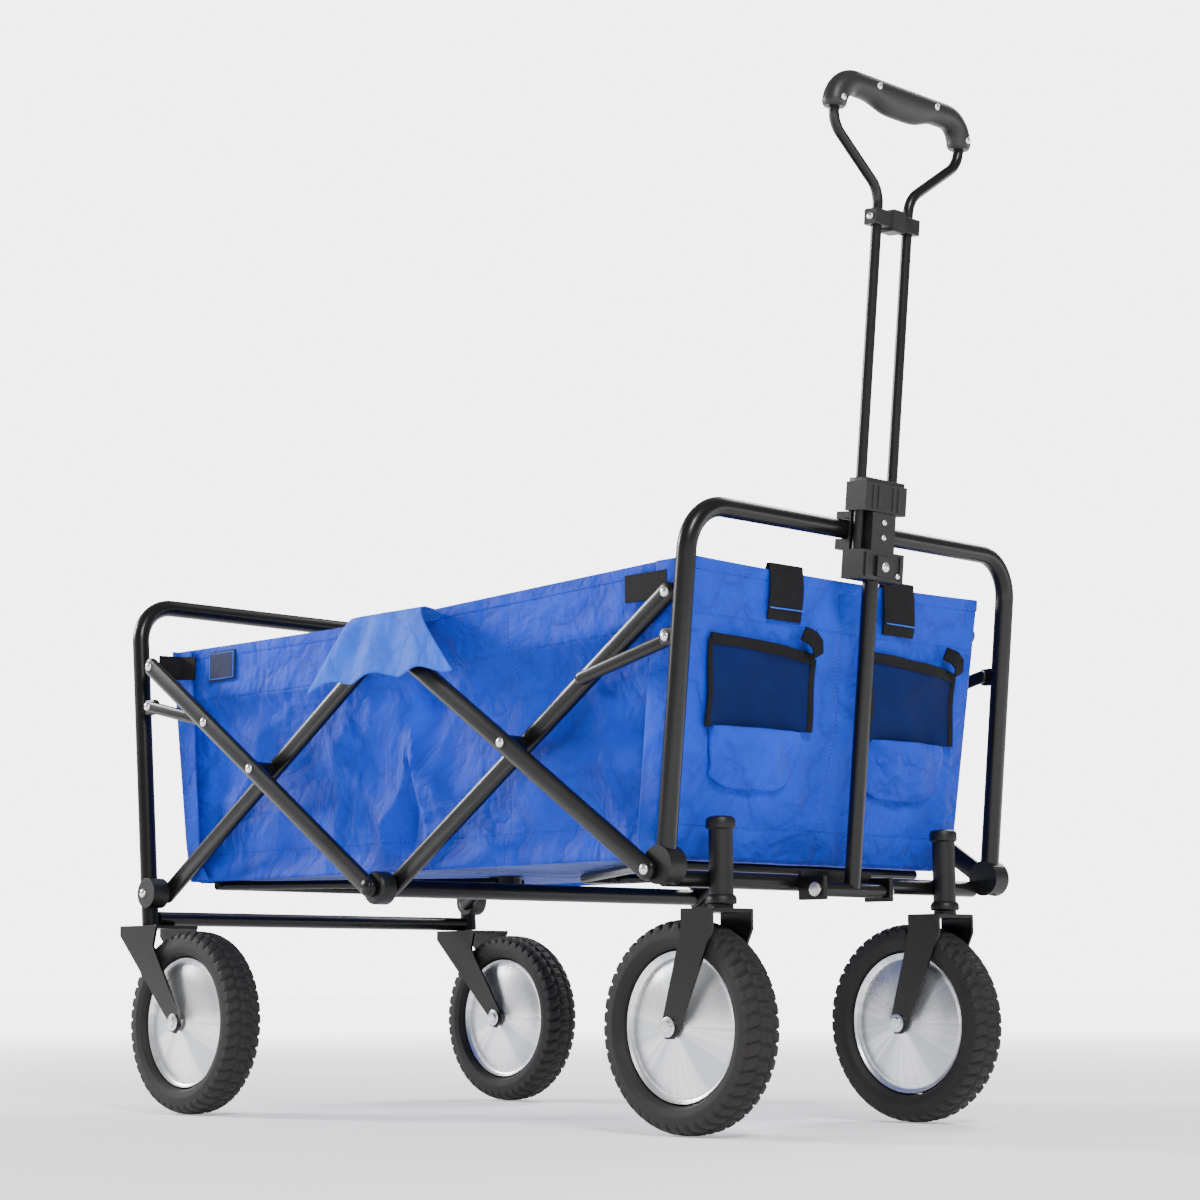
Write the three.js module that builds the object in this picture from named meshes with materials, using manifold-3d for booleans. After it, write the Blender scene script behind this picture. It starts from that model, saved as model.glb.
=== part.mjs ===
// Folding utility wagon: a fabric bag in a scissor frame, swivelling front wheels and a telescoping
// pull handle. Units are millimetres, +X is forward (towards the handle), +Y is left, +Z is up.
// Lengths along X are laid out from the linkage's middle plane. The finished group is then moved so
// that the origin lies on the ground under the middle of the overall box.
import * as THREE from "three";
import { mergeVertices } from "three/addons/utils/BufferGeometryUtils.js";
import Module from "manifold-3d";

const wasm = await Module();
wasm.setup();

// Driving dimensions
const ORIGIN_SHIFT = -31.91;
const GAP = 0.3;

// Side linkage: two crossing pairs of bars on each side, all at the same slope
const BAR_ANGLE = THREE.MathUtils.degToRad(33.3);
const BAR_TO_MIDDLE = 245;
const BAR_TO_END = 236;
const CROSSING_Z = 372.5;
const STAY_ON_BAR = 104;
const STAY_POST_X = 415;
const STAY_POST_Z = 457.5;
const BAR_WIDTH = 20;
const STAY_WIDTH = 13;
const INNER_LAYER = [221, 229.5];
const OUTER_LAYER = [251.5, 259.5];
const REAR_STAY_LAYER = [245.2, 251.2];
const FRONT_STAY_LAYER = [229.8, 235.8];
const RIVET_R = 5.5;
const RIVET_PROUD = 3;
const MIDDLE_PIN_R = 6;

// End frames: bent U tubes that lean outwards
const POST_Y = 240.4;
const POST_R = 9.5;
const LEAN_SLOPE = 0.106;
const LEAN_FROM_Z = 249;
const REAR_POST_X = -417;
const FRONT_POST_X = 411.3;
const FRAME_TOP_Z = 581;
const FRAME_BEND_R = 45;
const REAR_POST_BOTTOM_Z = 208.8;
const FRONT_POST_BOTTOM_Z = 231;
const CROSS_BAR_R = 8;
const REAR_CROSS_X = -413.4;
const REAR_CROSS_Z = 215.5;
const FRONT_CROSS_X = 397;
const FRONT_CROSS_Z = 236;

// Wheels and forks
const WHEEL_R = 100;
const RIM_R = 70;
const TYRE_W = 45;
const REAR_WHEEL = [-328, 236.4];
const FRONT_WHEEL = [368.5, 166];
const AXLE_R = 6;
const NUT_R = 9.5;
const ARM_INNER = TYRE_W / 2 + 3;
const ARM_OUTER = ARM_INNER + 3;
const CASTER_X = 411;
const SLEEVE_R = 11.5;
const SLEEVE_BOTTOM_Z = 213;
const SLEEVE_TOP_Z = 294;
const KINGPIN_R = 6;

// Bag and floor
const PANEL_HALF_WIDTH = 219;
const PANEL_T = 3;
const REAR_PANEL = [[-377.5, 276], [-417.5, 521]];
const FRONT_PANEL = [[379.5, 276], [421.5, 534]];
const WALL_LAYER = [214.5, 218.5];
const BOARD_HINGE_X = 367;
const BOARD_HINGE_Z = 262;
const BOARD_REACH = 320;
const BOARD_HALF_WIDTH = 204;
const FLOOR_ROD_R = 5;

// Pull handle. It is laid out upright (z up its own line from the hinge, x to its front),
// then leaned forward and moved to the hinge.
const HINGE_X = 429;
const HINGE_Z = 229;
const HINGE_PIN_R = 3.2;
const SHAFT_R = 8;
const SHAFT_LENGTH = 392;
const ROD_R = 5.25;
const ROD_Y = 23.5;
const ROD_BOTTOM = 306;
const BLOCK_HALF_WIDTH = 31;
const LOOP_HALF_WIDTH = 97;
const LOOP_TOP = 787;
const GRIP_R = 13.5;

const wagon = new THREE.Group();

// Materials
const paint = (color, roughness, metalness) => () =>
  new THREE.MeshStandardMaterial({ color, roughness, metalness });
const blackSteel = paint(0x16161a, 0.38, 0.7);
const blackPlastic = paint(0x1b1b1d, 0.55, 0);
const tyreRubber = paint(0x1a1a1b, 0.85, 0);
const spunMetal = paint(0xd8dbe0, 0.3, 0.9);
const boltSteel = paint(0xc4c6c9, 0.35, 0.9);
const blueCloth = paint(0x1f4fc4, 0.85, 0);
const boardCloth = paint(0x17181c, 0.9, 0);

// Joins and cuts
function toSolid(geometry) {
  const bare = geometry.clone();
  bare.deleteAttribute("normal");
  bare.deleteAttribute("uv");
  const merged = mergeVertices(bare, 1e-4);
  const vertProperties = new Float32Array(merged.attributes.position.array);
  const triVerts = new Uint32Array(merged.index.array);
  return new wasm.Manifold(new wasm.Mesh({ numProp: 3, vertProperties, triVerts }));
}

function fromSolid(solid) {
  const mesh = solid.getMesh();
  const geometry = new THREE.BufferGeometry();
  geometry.setAttribute("position", new THREE.BufferAttribute(mesh.vertProperties, 3));
  geometry.setIndex(new THREE.BufferAttribute(mesh.triVerts, 1));
  const flat = geometry.toNonIndexed();
  flat.computeVertexNormals();
  return flat;
}

const joined = (first, ...others) =>
  fromSolid(others.reduce((sum, other) => sum.add(toSolid(other)), toSolid(first)));
const cut = (first, ...others) =>
  fromSolid(others.reduce((rest, other) => rest.subtract(toSolid(other)), toSolid(first)));

// Basic shapes, each already in its place
function box(x0, x1, y0, y1, z0, z1) {
  const geometry = new THREE.BoxGeometry(x1 - x0, y1 - y0, z1 - z0);
  return geometry.translate((x0 + x1) / 2, (y0 + y1) / 2, (z0 + z1) / 2);
}

function cylinderY(x, z, radius, y0, y1, sides = 16) {
  const geometry = new THREE.CylinderGeometry(radius, radius, Math.abs(y1 - y0), sides);
  return geometry.translate(x, (y0 + y1) / 2, z);
}

function cylinderZ(x, y, radius, z0, z1, sides = 16) {
  const geometry = new THREE.CylinderGeometry(radius, radius, z1 - z0, sides);
  return geometry.rotateX(Math.PI / 2).translate(x, y, (z0 + z1) / 2);
}

// A path through given points, used as it is: one ring of the tube at each point
class PointPath extends THREE.Curve {
  constructor(points) {
    super();
    this.points = points;
  }

  at(u) {
    return Math.round(u * (this.points.length - 1));
  }

  getPointAt(u) {
    return this.points[this.at(u)].clone();
  }

  getTangentAt(u) {
    const i = this.at(u);
    const last = this.points.length - 1;
    const here = this.points[i];
    const back = here.clone().sub(this.points[Math.max(i - 1, 0)]).normalize();
    const ahead = this.points[Math.min(i + 1, last)].clone().sub(here).normalize();
    return back.add(ahead).normalize();
  }
}

// Corner points replaced by circular bends of the given radius
function bent(corners, radius, perBend = 6) {
  const points = [corners[0]];
  for (let i = 1; i < corners.length - 1; i++) {
    const before = corners[i - 1].clone().sub(corners[i]).normalize();
    const after = corners[i + 1].clone().sub(corners[i]).normalize();
    const half = before.angleTo(after) / 2;
    const inward = before.clone().add(after).normalize();
    const centre = corners[i].clone().addScaledVector(inward, radius / Math.sin(half));
    const start = corners[i].clone().addScaledVector(before, radius / Math.tan(half)).sub(centre);
    const axis = before.clone().cross(after).normalize();
    for (let k = 0; k <= perBend; k++) {
      const turn = (-(Math.PI - 2 * half) * k) / perBend;
      points.push(start.clone().applyAxisAngle(axis, turn).add(centre));
    }
  }
  points.push(corners[corners.length - 1]);
  return points;
}

function tube(points, radius, sides = 12) {
  const ring = new THREE.Shape();
  for (let i = 0; i < sides; i++) {
    const turn = (2 * Math.PI * (i + 0.5)) / sides;
    const corner = [radius * Math.cos(turn), radius * Math.sin(turn)];
    if (i === 0) ring.moveTo(...corner);
    else ring.lineTo(...corner);
  }
  const options = { steps: points.length - 1, extrudePath: new PointPath(points), bevelEnabled: false };
  return new THREE.ExtrudeGeometry(ring, options);
}

// Closed profiles turned about an axis, given anticlockwise as [radius, height]
function turnedAboutY(profile, x, y, z, segments) {
  const points = profile.map(([radius, height]) => new THREE.Vector2(radius, height));
  return new THREE.LatheGeometry(points, segments).translate(x, y, z);
}

function turnedAboutZ(profile, x, y, segments) {
  const points = profile.map(([radius, height]) => new THREE.Vector2(radius, height));
  return new THREE.LatheGeometry(points, segments).rotateX(Math.PI / 2).translate(x, y, 0);
}

// An outline in the XZ plane given a thickness between two Y values
function plateXZ(shape, [y0, y1], curveSegments = 5) {
  const options = { depth: y1 - y0, bevelEnabled: false, curveSegments };
  return new THREE.ExtrudeGeometry(shape, options).rotateX(Math.PI / 2).translate(0, y1, 0);
}

const outline = (points) => new THREE.Shape(points.map(([x, z]) => new THREE.Vector2(x, z)));

function add(name, geometry, material) {
  const mesh = new THREE.Mesh(geometry, material());
  mesh.name = name;
  wagon.add(mesh);
}

// Two sides, named as someone pulling the wagon forward would name them
const SIDES = [["right", -1], ["left", 1]];
const onSide = (side, [near, far]) => (side > 0 ? [near, far] : [-far, -near]);
const pin = (side, [x, z], radius, near, far, sides = 10) =>
  cylinderY(x, z, radius, side * near, side * far, sides);

// Linkage pivots at rest, for the rear (end = -1) and the front (end = 1)
const ALONG = Math.cos(BAR_ANGLE);
const UP = Math.sin(BAR_ANGLE);
function pivots(end) {
  const x = end * BAR_TO_MIDDLE * ALONG;
  return {
    crossing: [x, CROSSING_Z],
    low: [x + end * BAR_TO_END * ALONG, CROSSING_Z - BAR_TO_END * UP],
    high: [x + end * BAR_TO_END * ALONG, CROSSING_Z + BAR_TO_END * UP],
    onBar: [x + end * STAY_ON_BAR * ALONG, CROSSING_Z + STAY_ON_BAR * UP],
    onPost: [end * STAY_POST_X, STAY_POST_Z],
  };
}
const REAR = pivots(-1);
const FRONT = pivots(1);
const TOP_MIDDLE = [0, CROSSING_Z + BAR_TO_MIDDLE * UP];
const BOTTOM_MIDDLE = [0, CROSSING_Z - BAR_TO_MIDDLE * UP];

// A flat bar with round ends between two points
function flatBar(from, to, width, layer) {
  const length = Math.hypot(to[0] - from[0], to[1] - from[1]);
  const half = width / 2;
  const shape = new THREE.Shape();
  shape.moveTo(0, -half);
  shape.lineTo(length, -half);
  shape.absarc(length, 0, half, -Math.PI / 2, Math.PI / 2, false);
  shape.lineTo(0, half);
  shape.absarc(0, 0, half, Math.PI / 2, (3 * Math.PI) / 2, false);
  const turn = Math.atan2(to[1] - from[1], to[0] - from[0]);
  return plateXZ(shape, layer).rotateY(-turn).translate(from[0], 0, from[1]);
}

const middlePinHole = (side) => pin(side, BOTTOM_MIDDLE, MIDDLE_PIN_R + GAP, 200, 280, 16);
const rivet = (side, point) =>
  pin(side, point, RIVET_R, OUTER_LAYER[1] - 2, OUTER_LAYER[1] + RIVET_PROUD);

for (const [sideName, side] of SIDES) {
  const inner = onSide(side, INNER_LAYER);
  const outer = onSide(side, OUTER_LAYER);
  const across = [INNER_LAYER[1] + GAP, OUTER_LAYER[0] + 1];

  // Inner bars have plain ends. Outer bars carry the distance bosses and the rivets.
  add(`rear_low_bar_${sideName}`, flatBar(REAR.low, TOP_MIDDLE, BAR_WIDTH, inner), blackSteel);
  const frontHighBar = cut(flatBar(BOTTOM_MIDDLE, FRONT.high, BAR_WIDTH, inner), middlePinHole(side));
  add(`front_high_bar_${sideName}`, frontHighBar, blackSteel);
  const rearHighBar = joined(
    cut(flatBar(BOTTOM_MIDDLE, REAR.high, BAR_WIDTH, outer), middlePinHole(side)),
    pin(side, REAR.crossing, 8, ...across),
    rivet(side, REAR.crossing),
    rivet(side, REAR.onBar),
    rivet(side, REAR.high),
  );
  add(`rear_high_bar_${sideName}`, rearHighBar, blackSteel);
  const frontLowBar = joined(
    flatBar(FRONT.low, TOP_MIDDLE, BAR_WIDTH, outer),
    pin(side, FRONT.crossing, 8, ...across),
    pin(side, TOP_MIDDLE, 12, ...across, 14),
    rivet(side, FRONT.low),
    rivet(side, FRONT.crossing),
    rivet(side, TOP_MIDDLE),
  );
  add(`front_low_bar_${sideName}`, frontLowBar, blackSteel);

  // Bottom middle hub between the two layers
  const hub = pin(side, BOTTOM_MIDDLE, 17, INNER_LAYER[1] + GAP, OUTER_LAYER[0] - GAP, 22);
  add(`bottom_middle_hub_${sideName}`, cut(hub, middlePinHole(side)), blackPlastic);

  // Stays from the posts to the high bars, each beside the bar it belongs to
  const rearStay = flatBar(REAR.onPost, REAR.onBar, STAY_WIDTH, onSide(side, REAR_STAY_LAYER));
  add(`rear_stay_${sideName}`, rearStay, blackSteel);
  const frontStay = flatBar(FRONT.onPost, FRONT.onBar, STAY_WIDTH, onSide(side, FRONT_STAY_LAYER));
  add(`front_stay_${sideName}`, frontStay, blackSteel);
}

// Cross tube on the bottom middle axis, ending in the rivet heads outside the outer bars
const crossTube = joined(
  cylinderY(0, BOTTOM_MIDDLE[1], MIDDLE_PIN_R, -OUTER_LAYER[1] - 1, OUTER_LAYER[1] + 1),
  cylinderY(0, BOTTOM_MIDDLE[1], 9, -INNER_LAYER[0] + GAP, INNER_LAYER[0] - GAP),
  ...SIDES.map(([, side]) => pin(side, BOTTOM_MIDDLE, 9, OUTER_LAYER[1] + GAP, OUTER_LAYER[1] + 3.5, 12)),
);
add("bottom_cross_tube", crossTube, blackSteel);

// End frames
const postX = (end, z) =>
  (end < 0 ? REAR_POST_X : FRONT_POST_X) + end * LEAN_SLOPE * (z - LEAN_FROM_Z);
const onPost = (end, side, z) => new THREE.Vector3(postX(end, z), side * POST_Y, z);

function frameTube(end, bottomZ) {
  const corners = [
    onPost(end, -1, bottomZ),
    onPost(end, -1, FRAME_TOP_Z),
    onPost(end, 1, FRAME_TOP_Z),
    onPost(end, 1, bottomZ),
  ];
  return tube(bent(corners, FRAME_BEND_R), POST_R);
}

// The lug is a plate on the post that carries the stay's pivot
function lug(end, side, layer) {
  const x = end * STAY_POST_X;
  const back = postX(end, STAY_POST_Z);
  const shape = new THREE.Shape();
  shape.moveTo(back, STAY_POST_Z - 9);
  shape.lineTo(x, STAY_POST_Z - 9);
  shape.absarc(x, STAY_POST_Z, 9, -Math.PI / 2, Math.PI / 2, end > 0);
  shape.lineTo(back, STAY_POST_Z + 9);
  return plateXZ(shape, onSide(side, layer));
}

const REAR_LUG = [REAR_STAY_LAYER[0] - 7, REAR_STAY_LAYER[0] - GAP];
const FRONT_LUG = [FRONT_STAY_LAYER[1] + GAP, FRONT_STAY_LAYER[1] + 7];
const rearTube = frameTube(-1, REAR_POST_BOTTOM_Z);
add("rear_frame_tube", joined(rearTube, lug(-1, -1, REAR_LUG), lug(-1, 1, REAR_LUG)), blackSteel);
const frontTube = frameTube(1, FRONT_POST_BOTTOM_Z);
add("front_frame_tube", joined(frontTube, lug(1, -1, FRONT_LUG), lug(1, 1, FRONT_LUG)), blackSteel);

const REAR_BAR_END = POST_Y - POST_R - GAP;
const rearCrossBar = cylinderY(REAR_CROSS_X, REAR_CROSS_Z, CROSS_BAR_R, -REAR_BAR_END, REAR_BAR_END);
add("rear_cross_bar", rearCrossBar, blackSteel);

// Corner hubs are clamped round the feet of the posts and carry the lowest pivots
const hubLayer = [INNER_LAYER[1] + GAP, OUTER_LAYER[0] - GAP];
for (const [sideName, side] of SIDES) {
  const foot = (end) => tube([onPost(end, side, 160), onPost(end, side, 320)], POST_R + GAP);
  const rearHub = cut(pin(side, [-408, 244], 17, ...hubLayer, 22), foot(-1));
  add(`rear_corner_hub_${sideName}`, rearHub, blackPlastic);
  const frontHub = cut(pin(side, [411, 247], 18, ...hubLayer, 22), foot(1));
  add(`front_corner_hub_${sideName}`, frontHub, blackPlastic);
}

// Caster sleeves stand against the front cross bar, which is notched round them
const sleeveSpace = (side) =>
  cylinderZ(CASTER_X, side * FRONT_WHEEL[1], SLEEVE_R + GAP, 200, 300, 20);
const FRONT_BAR_END = INNER_LAYER[1] - GAP;
const frontCrossBar = cut(
  cylinderY(FRONT_CROSS_X, FRONT_CROSS_Z, CROSS_BAR_R, -FRONT_BAR_END, FRONT_BAR_END),
  sleeveSpace(-1),
  sleeveSpace(1),
);
add("front_cross_bar", frontCrossBar, blackSteel);

const SLEEVE_PROFILE = [
  [KINGPIN_R + GAP, SLEEVE_BOTTOM_Z],
  [SLEEVE_R + 3, SLEEVE_BOTTOM_Z],
  [SLEEVE_R + 3, SLEEVE_BOTTOM_Z + 6],
  [SLEEVE_R, SLEEVE_BOTTOM_Z + 9],
  [SLEEVE_R, SLEEVE_TOP_Z - 11],
  [SLEEVE_R + 2.5, SLEEVE_TOP_Z - 10],
  [SLEEVE_R + 2.5, SLEEVE_TOP_Z - 2],
  [SLEEVE_R, SLEEVE_TOP_Z],
  [KINGPIN_R + GAP, SLEEVE_TOP_Z],
  [KINGPIN_R + GAP, SLEEVE_BOTTOM_Z],
];

// A fork: a crown plate and two arms with holes for the axle
function fork([x, middleY], side, crown, armPoints) {
  const y = side * middleY;
  const arm = outline(armPoints);
  return cut(
    joined(
      box(crown[0], crown[1], y - ARM_OUTER, y + ARM_OUTER, crown[2], crown[3]),
      plateXZ(arm, [y - ARM_OUTER, y - ARM_INNER]),
      plateXZ(arm, [y + ARM_INNER, y + ARM_OUTER]),
    ),
    cylinderY(x, WHEEL_R, AXLE_R + GAP, y - 40, y + 40, 14),
  );
}

for (const [sideName, side] of SIDES) {
  const y = side * FRONT_WHEEL[1];
  add(`caster_sleeve_${sideName}`, turnedAboutZ(SLEEVE_PROFILE, CASTER_X, y, 20), blackPlastic);
  const x = FRONT_WHEEL[0];
  const casterFork = joined(
    fork(FRONT_WHEEL, side, [CASTER_X - 26, CASTER_X + 14, 205, 209], [
      [CASTER_X - 26, 209],
      [CASTER_X - 26, 190],
      [x - 11, WHEEL_R - 3],
      [x - 4, WHEEL_R - 11],
      [x + 5, WHEEL_R - 11],
      [x + 12, WHEEL_R - 3],
      [CASTER_X + 14, 190],
      [CASTER_X + 14, 209],
    ]),
    cylinderZ(CASTER_X, y, KINGPIN_R, 207, SLEEVE_TOP_Z + 1),
    cylinderZ(CASTER_X, y, SLEEVE_R, 207, SLEEVE_BOTTOM_Z - GAP, 20),
  );
  add(`caster_fork_${sideName}`, casterFork, blackSteel);
}

for (const [sideName, side] of SIDES) {
  const x = REAR_WHEEL[0];
  const rearFork = fork(REAR_WHEEL, side, [-437, -366, 203.5, 207], [
    [-437, 207],
    [-437, 196],
    [-408, 168],
    [x - 12, WHEEL_R + 3],
    [x - 8, WHEEL_R - 9],
    [x + 3, WHEEL_R - 12],
    [x + 11, WHEEL_R - 4],
    [x + 10, WHEEL_R + 8],
    [-372, 184],
    [-366, 207],
  ]);
  add(`rear_fork_${sideName}`, rearFork, blackSteel);
}

// Wheels: an axle with its nuts outside the arms, a tyre and a domed disc
const HALF = TYRE_W / 2;
const TYRE_PROFILE = [
  [RIM_R, -15],
  [RIM_R + 4, -19],
  [RIM_R + 12, -HALF],
  [WHEEL_R - 9, -HALF],
  [WHEEL_R - 2, -HALF + 7],
  [WHEEL_R, -7],
  [WHEEL_R, 7],
  [WHEEL_R - 2, HALF - 7],
  [WHEEL_R - 9, HALF],
  [RIM_R + 12, HALF],
  [RIM_R + 4, 19],
  [RIM_R, 15],
  [RIM_R, -15],
];
const BORE = AXLE_R + GAP;
const DISC_PROFILE = [
  [BORE, -21],
  [15, -21],
  [26, -18],
  [54, -13],
  [RIM_R - GAP, -13],
  [RIM_R - GAP, 13],
  [54, 13],
  [26, 18],
  [15, 21],
  [BORE, 21],
  [BORE, -21],
];

function wheel(name, [x, middleY], side) {
  const y = side * middleY;
  const nut = (near, far) => cylinderY(x, WHEEL_R, NUT_R, y + near, y + far, 12);
  const axle = joined(
    cylinderY(x, WHEEL_R, AXLE_R, y - ARM_OUTER - 1, y + ARM_OUTER + 1),
    nut(ARM_OUTER + GAP, ARM_OUTER + 3.3),
    nut(-ARM_OUTER - 3.3, -ARM_OUTER - GAP),
  );
  add(`${name}_axle`, axle, boltSteel);
  add(`${name}_tyre`, turnedAboutY(TYRE_PROFILE, x, y, WHEEL_R, 32), tyreRubber);
  add(`${name}_disc`, turnedAboutY(DISC_PROFILE, x, y, WHEEL_R, 32), spunMetal);
}
for (const [sideName, side] of SIDES) {
  wheel(`rear_wheel_${sideName}`, REAR_WHEEL, side);
  wheel(`front_wheel_${sideName}`, FRONT_WHEEL, side);
}

// Bag: two end panels on the frames and two side walls between them
function panel([[x0, z0], [x1, z1]]) {
  const points = [[x0, z0], [x0 + PANEL_T, z0], [x1 + PANEL_T, z1], [x1, z1]];
  return plateXZ(outline(points), [-PANEL_HALF_WIDTH, PANEL_HALF_WIDTH]);
}
add("rear_panel", panel(REAR_PANEL), blueCloth);
add("front_panel", panel(FRONT_PANEL), blueCloth);

const PANEL_CLEARANCE = 0.6;
for (const [sideName, side] of SIDES) {
  const wall = outline([
    [REAR_PANEL[0][0] + PANEL_T + PANEL_CLEARANCE, 276],
    [FRONT_PANEL[0][0] - PANEL_CLEARANCE, 276],
    [FRONT_PANEL[1][0] - PANEL_CLEARANCE, 534],
    [300, 528],
    [0, 517],
    [REAR_PANEL[1][0] + PANEL_T + PANEL_CLEARANCE, 521],
  ]);
  add(`bag_side_${sideName}`, plateXZ(wall, onSide(side, WALL_LAYER)), blueCloth);
}

// Floor boards, hinged at their outer edges, with rods beneath that run together at the middle
for (const [endName, end] of [["rear", -1], ["front", 1]]) {
  const from = (reach) => end * (BOARD_HINGE_X - reach);
  const [x0, x1] = [from(0), from(BOARD_REACH)].sort((a, b) => a - b);
  const z = BOARD_HINGE_Z;
  const board = box(x0, x1, -BOARD_HALF_WIDTH, BOARD_HALF_WIDTH, z - 4, z + 3);
  add(`${endName}_floor_board`, board, boardCloth);
  const rodZ = z - 4 - GAP - FLOOR_ROD_R - 1;
  const diagonal = (side) => {
    const outerEnd = new THREE.Vector3(from(22), side * 190, rodZ);
    return tube([outerEnd, new THREE.Vector3(from(296), side * 18, rodZ)], FLOOR_ROD_R, 10);
  };
  const rods = joined(
    diagonal(-1),
    diagonal(1),
    cylinderY(from(22), rodZ, FLOOR_ROD_R, -198, 198, 10),
    cylinderZ(from(290), 0, 19, rodZ - FLOOR_ROD_R - 0.5, rodZ + FLOOR_ROD_R + 0.5, 22),
  );
  add(`${endName}_floor_rods`, rods, blackSteel);
}

// Pull handle
const onLine = (geometry) =>
  geometry.rotateY(Math.atan(LEAN_SLOPE)).translate(HINGE_X, 0, HINGE_Z);
const bothRods = (radius, z0, z1) => SIDES.map(([, side]) => cylinderZ(0, side * ROD_Y, radius, z0, z1, 12));

const EAR = [46, 52];
const bracketFront = FRONT_CROSS_X + CROSS_BAR_R + GAP;
const bracket = cut(
  joined(
    box(bracketFront, bracketFront + 5, -EAR[1], EAR[1], 224, 248),
    ...SIDES.map(([, side]) => box(bracketFront, HINGE_X + 9, ...onSide(side, EAR), 219, 242)),
  ),
  cylinderY(HINGE_X, HINGE_Z, HINGE_PIN_R + GAP, -80, 80, 14),
);
add("handle_bracket", bracket, blackSteel);
const hingePin = joined(
  cylinderY(HINGE_X, HINGE_Z, HINGE_PIN_R, -EAR[1] - 1, EAR[1] + 1, 14),
  ...SIDES.map(([, side]) => cylinderY(HINGE_X, HINGE_Z, 7, side * (EAR[1] + GAP), side * (EAR[1] + 4), 12)),
);
add("handle_hinge_pin", hingePin, boltSteel);

const shaft = cut(
  joined(cylinderZ(0, 0, SHAFT_R, 0, SHAFT_LENGTH), cylinderY(0, 0, 7, -EAR[0] + 1, EAR[0] - 1)),
  cylinderY(0, 0, HINGE_PIN_R + GAP, -80, 80, 14),
);
add("handle_shaft", onLine(shaft), blackSteel);

// Three blocks on the top of the shaft: the rods run through the lowest and the highest, and the
// middle one has a notch, open to the rear, that takes the front frame's top bar
const W = BLOCK_HALF_WIDTH;
const shaftBore = cylinderZ(0, 0, SHAFT_R + GAP, 290, SHAFT_LENGTH + GAP);
const lowerBlock = cut(
  joined(box(-12, 15, -W, W, 302, 331), box(-14, 18, -12, 12, 306, 326)),
  shaftBore,
  ...bothRods(ROD_R + GAP, 290, 420),
);
add("lower_block", onLine(lowerBlock), blackPlastic);
const frameBar = [
  (postX(1, FRAME_TOP_Z) - HINGE_X) * Math.cos(Math.atan(LEAN_SLOPE)) -
    (FRAME_TOP_Z - HINGE_Z) * Math.sin(Math.atan(LEAN_SLOPE)),
  (postX(1, FRAME_TOP_Z) - HINGE_X) * Math.sin(Math.atan(LEAN_SLOPE)) +
    (FRAME_TOP_Z - HINGE_Z) * Math.cos(Math.atan(LEAN_SLOPE)),
];
const notch = POST_R + 0.6;
const barClip = cut(
  joined(box(-26, 13, -17.5, 17.5, 331.3, 369), box(-26, -7, -27, 27, 331.3, 369)),
  shaftBore,
  box(-40, frameBar[0] + POST_R + 0.4, -40, 40, frameBar[1] - notch, frameBar[1] + notch),
);
add("bar_clip", onLine(barClip), blackPlastic);
const upperSleeve = cut(
  joined(box(-12, 14, -W, W, 369.3, 398), box(-10, 12, -W + 2, W - 2, 396, 402)),
  shaftBore,
  ...bothRods(ROD_R + GAP, 290, 420),
);
add("upper_sleeve", onLine(upperSleeve), blackPlastic);

// Twin rods bent into a loop at the top, the collar that ties them and the grip
const inLoop = (y, z) => new THREE.Vector3(0, y, z);
const loopSide = [
  [LOOP_HALF_WIDTH, LOOP_TOP],
  [LOOP_HALF_WIDTH, 742],
  [ROD_Y, 690],
  [ROD_Y, ROD_BOTTOM],
];
const loopCorners = [
  ...loopSide.map(([y, z]) => inLoop(-y, z)).reverse(),
  ...loopSide.map(([y, z]) => inLoop(y, z)),
];
const loopPoints = bent(loopCorners, 28);
add("handle_loop_tube", onLine(tube(loopPoints, ROD_R, 12)), blackSteel);
const collar = cut(
  joined(box(-8, 8, -W - 3, W + 3, 654, 670), box(-10, 10, -9, 9, 651, 673)),
  ...bothRods(ROD_R + GAP, 640, 680),
);
add("handle_collar", onLine(collar), blackPlastic);

const gripPoints = bent(
  [
    inLoop(-LOOP_HALF_WIDTH, 758.2),
    inLoop(-LOOP_HALF_WIDTH, LOOP_TOP),
    inLoop(LOOP_HALF_WIDTH, LOOP_TOP),
    inLoop(LOOP_HALF_WIDTH, 758.2),
  ],
  28,
);
const belly = new THREE.SphereGeometry(1, 20, 12).scale(12, 48, 19).translate(0, 0, LOOP_TOP - 5);
const grip = cut(joined(tube(gripPoints, GRIP_R, 16), belly), tube(loopPoints, ROD_R + GAP + 0.2, 12));
add("handle_grip", onLine(grip), blackPlastic);

wagon.children.forEach((mesh) => mesh.geometry.translate(ORIGIN_SHIFT, 0, 0));

export default wagon;
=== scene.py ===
"""Looks of the folding utility wagon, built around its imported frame.

Layout coordinates are millimetres with x measured from the linkage's middle plane, +X towards the
handle, +Y to the left side and +Z up. metres() turns them into the frame's own coordinates.
"""
import math

import bmesh
import bpy
import numpy as np
from mathutils import Matrix, Vector


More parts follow.
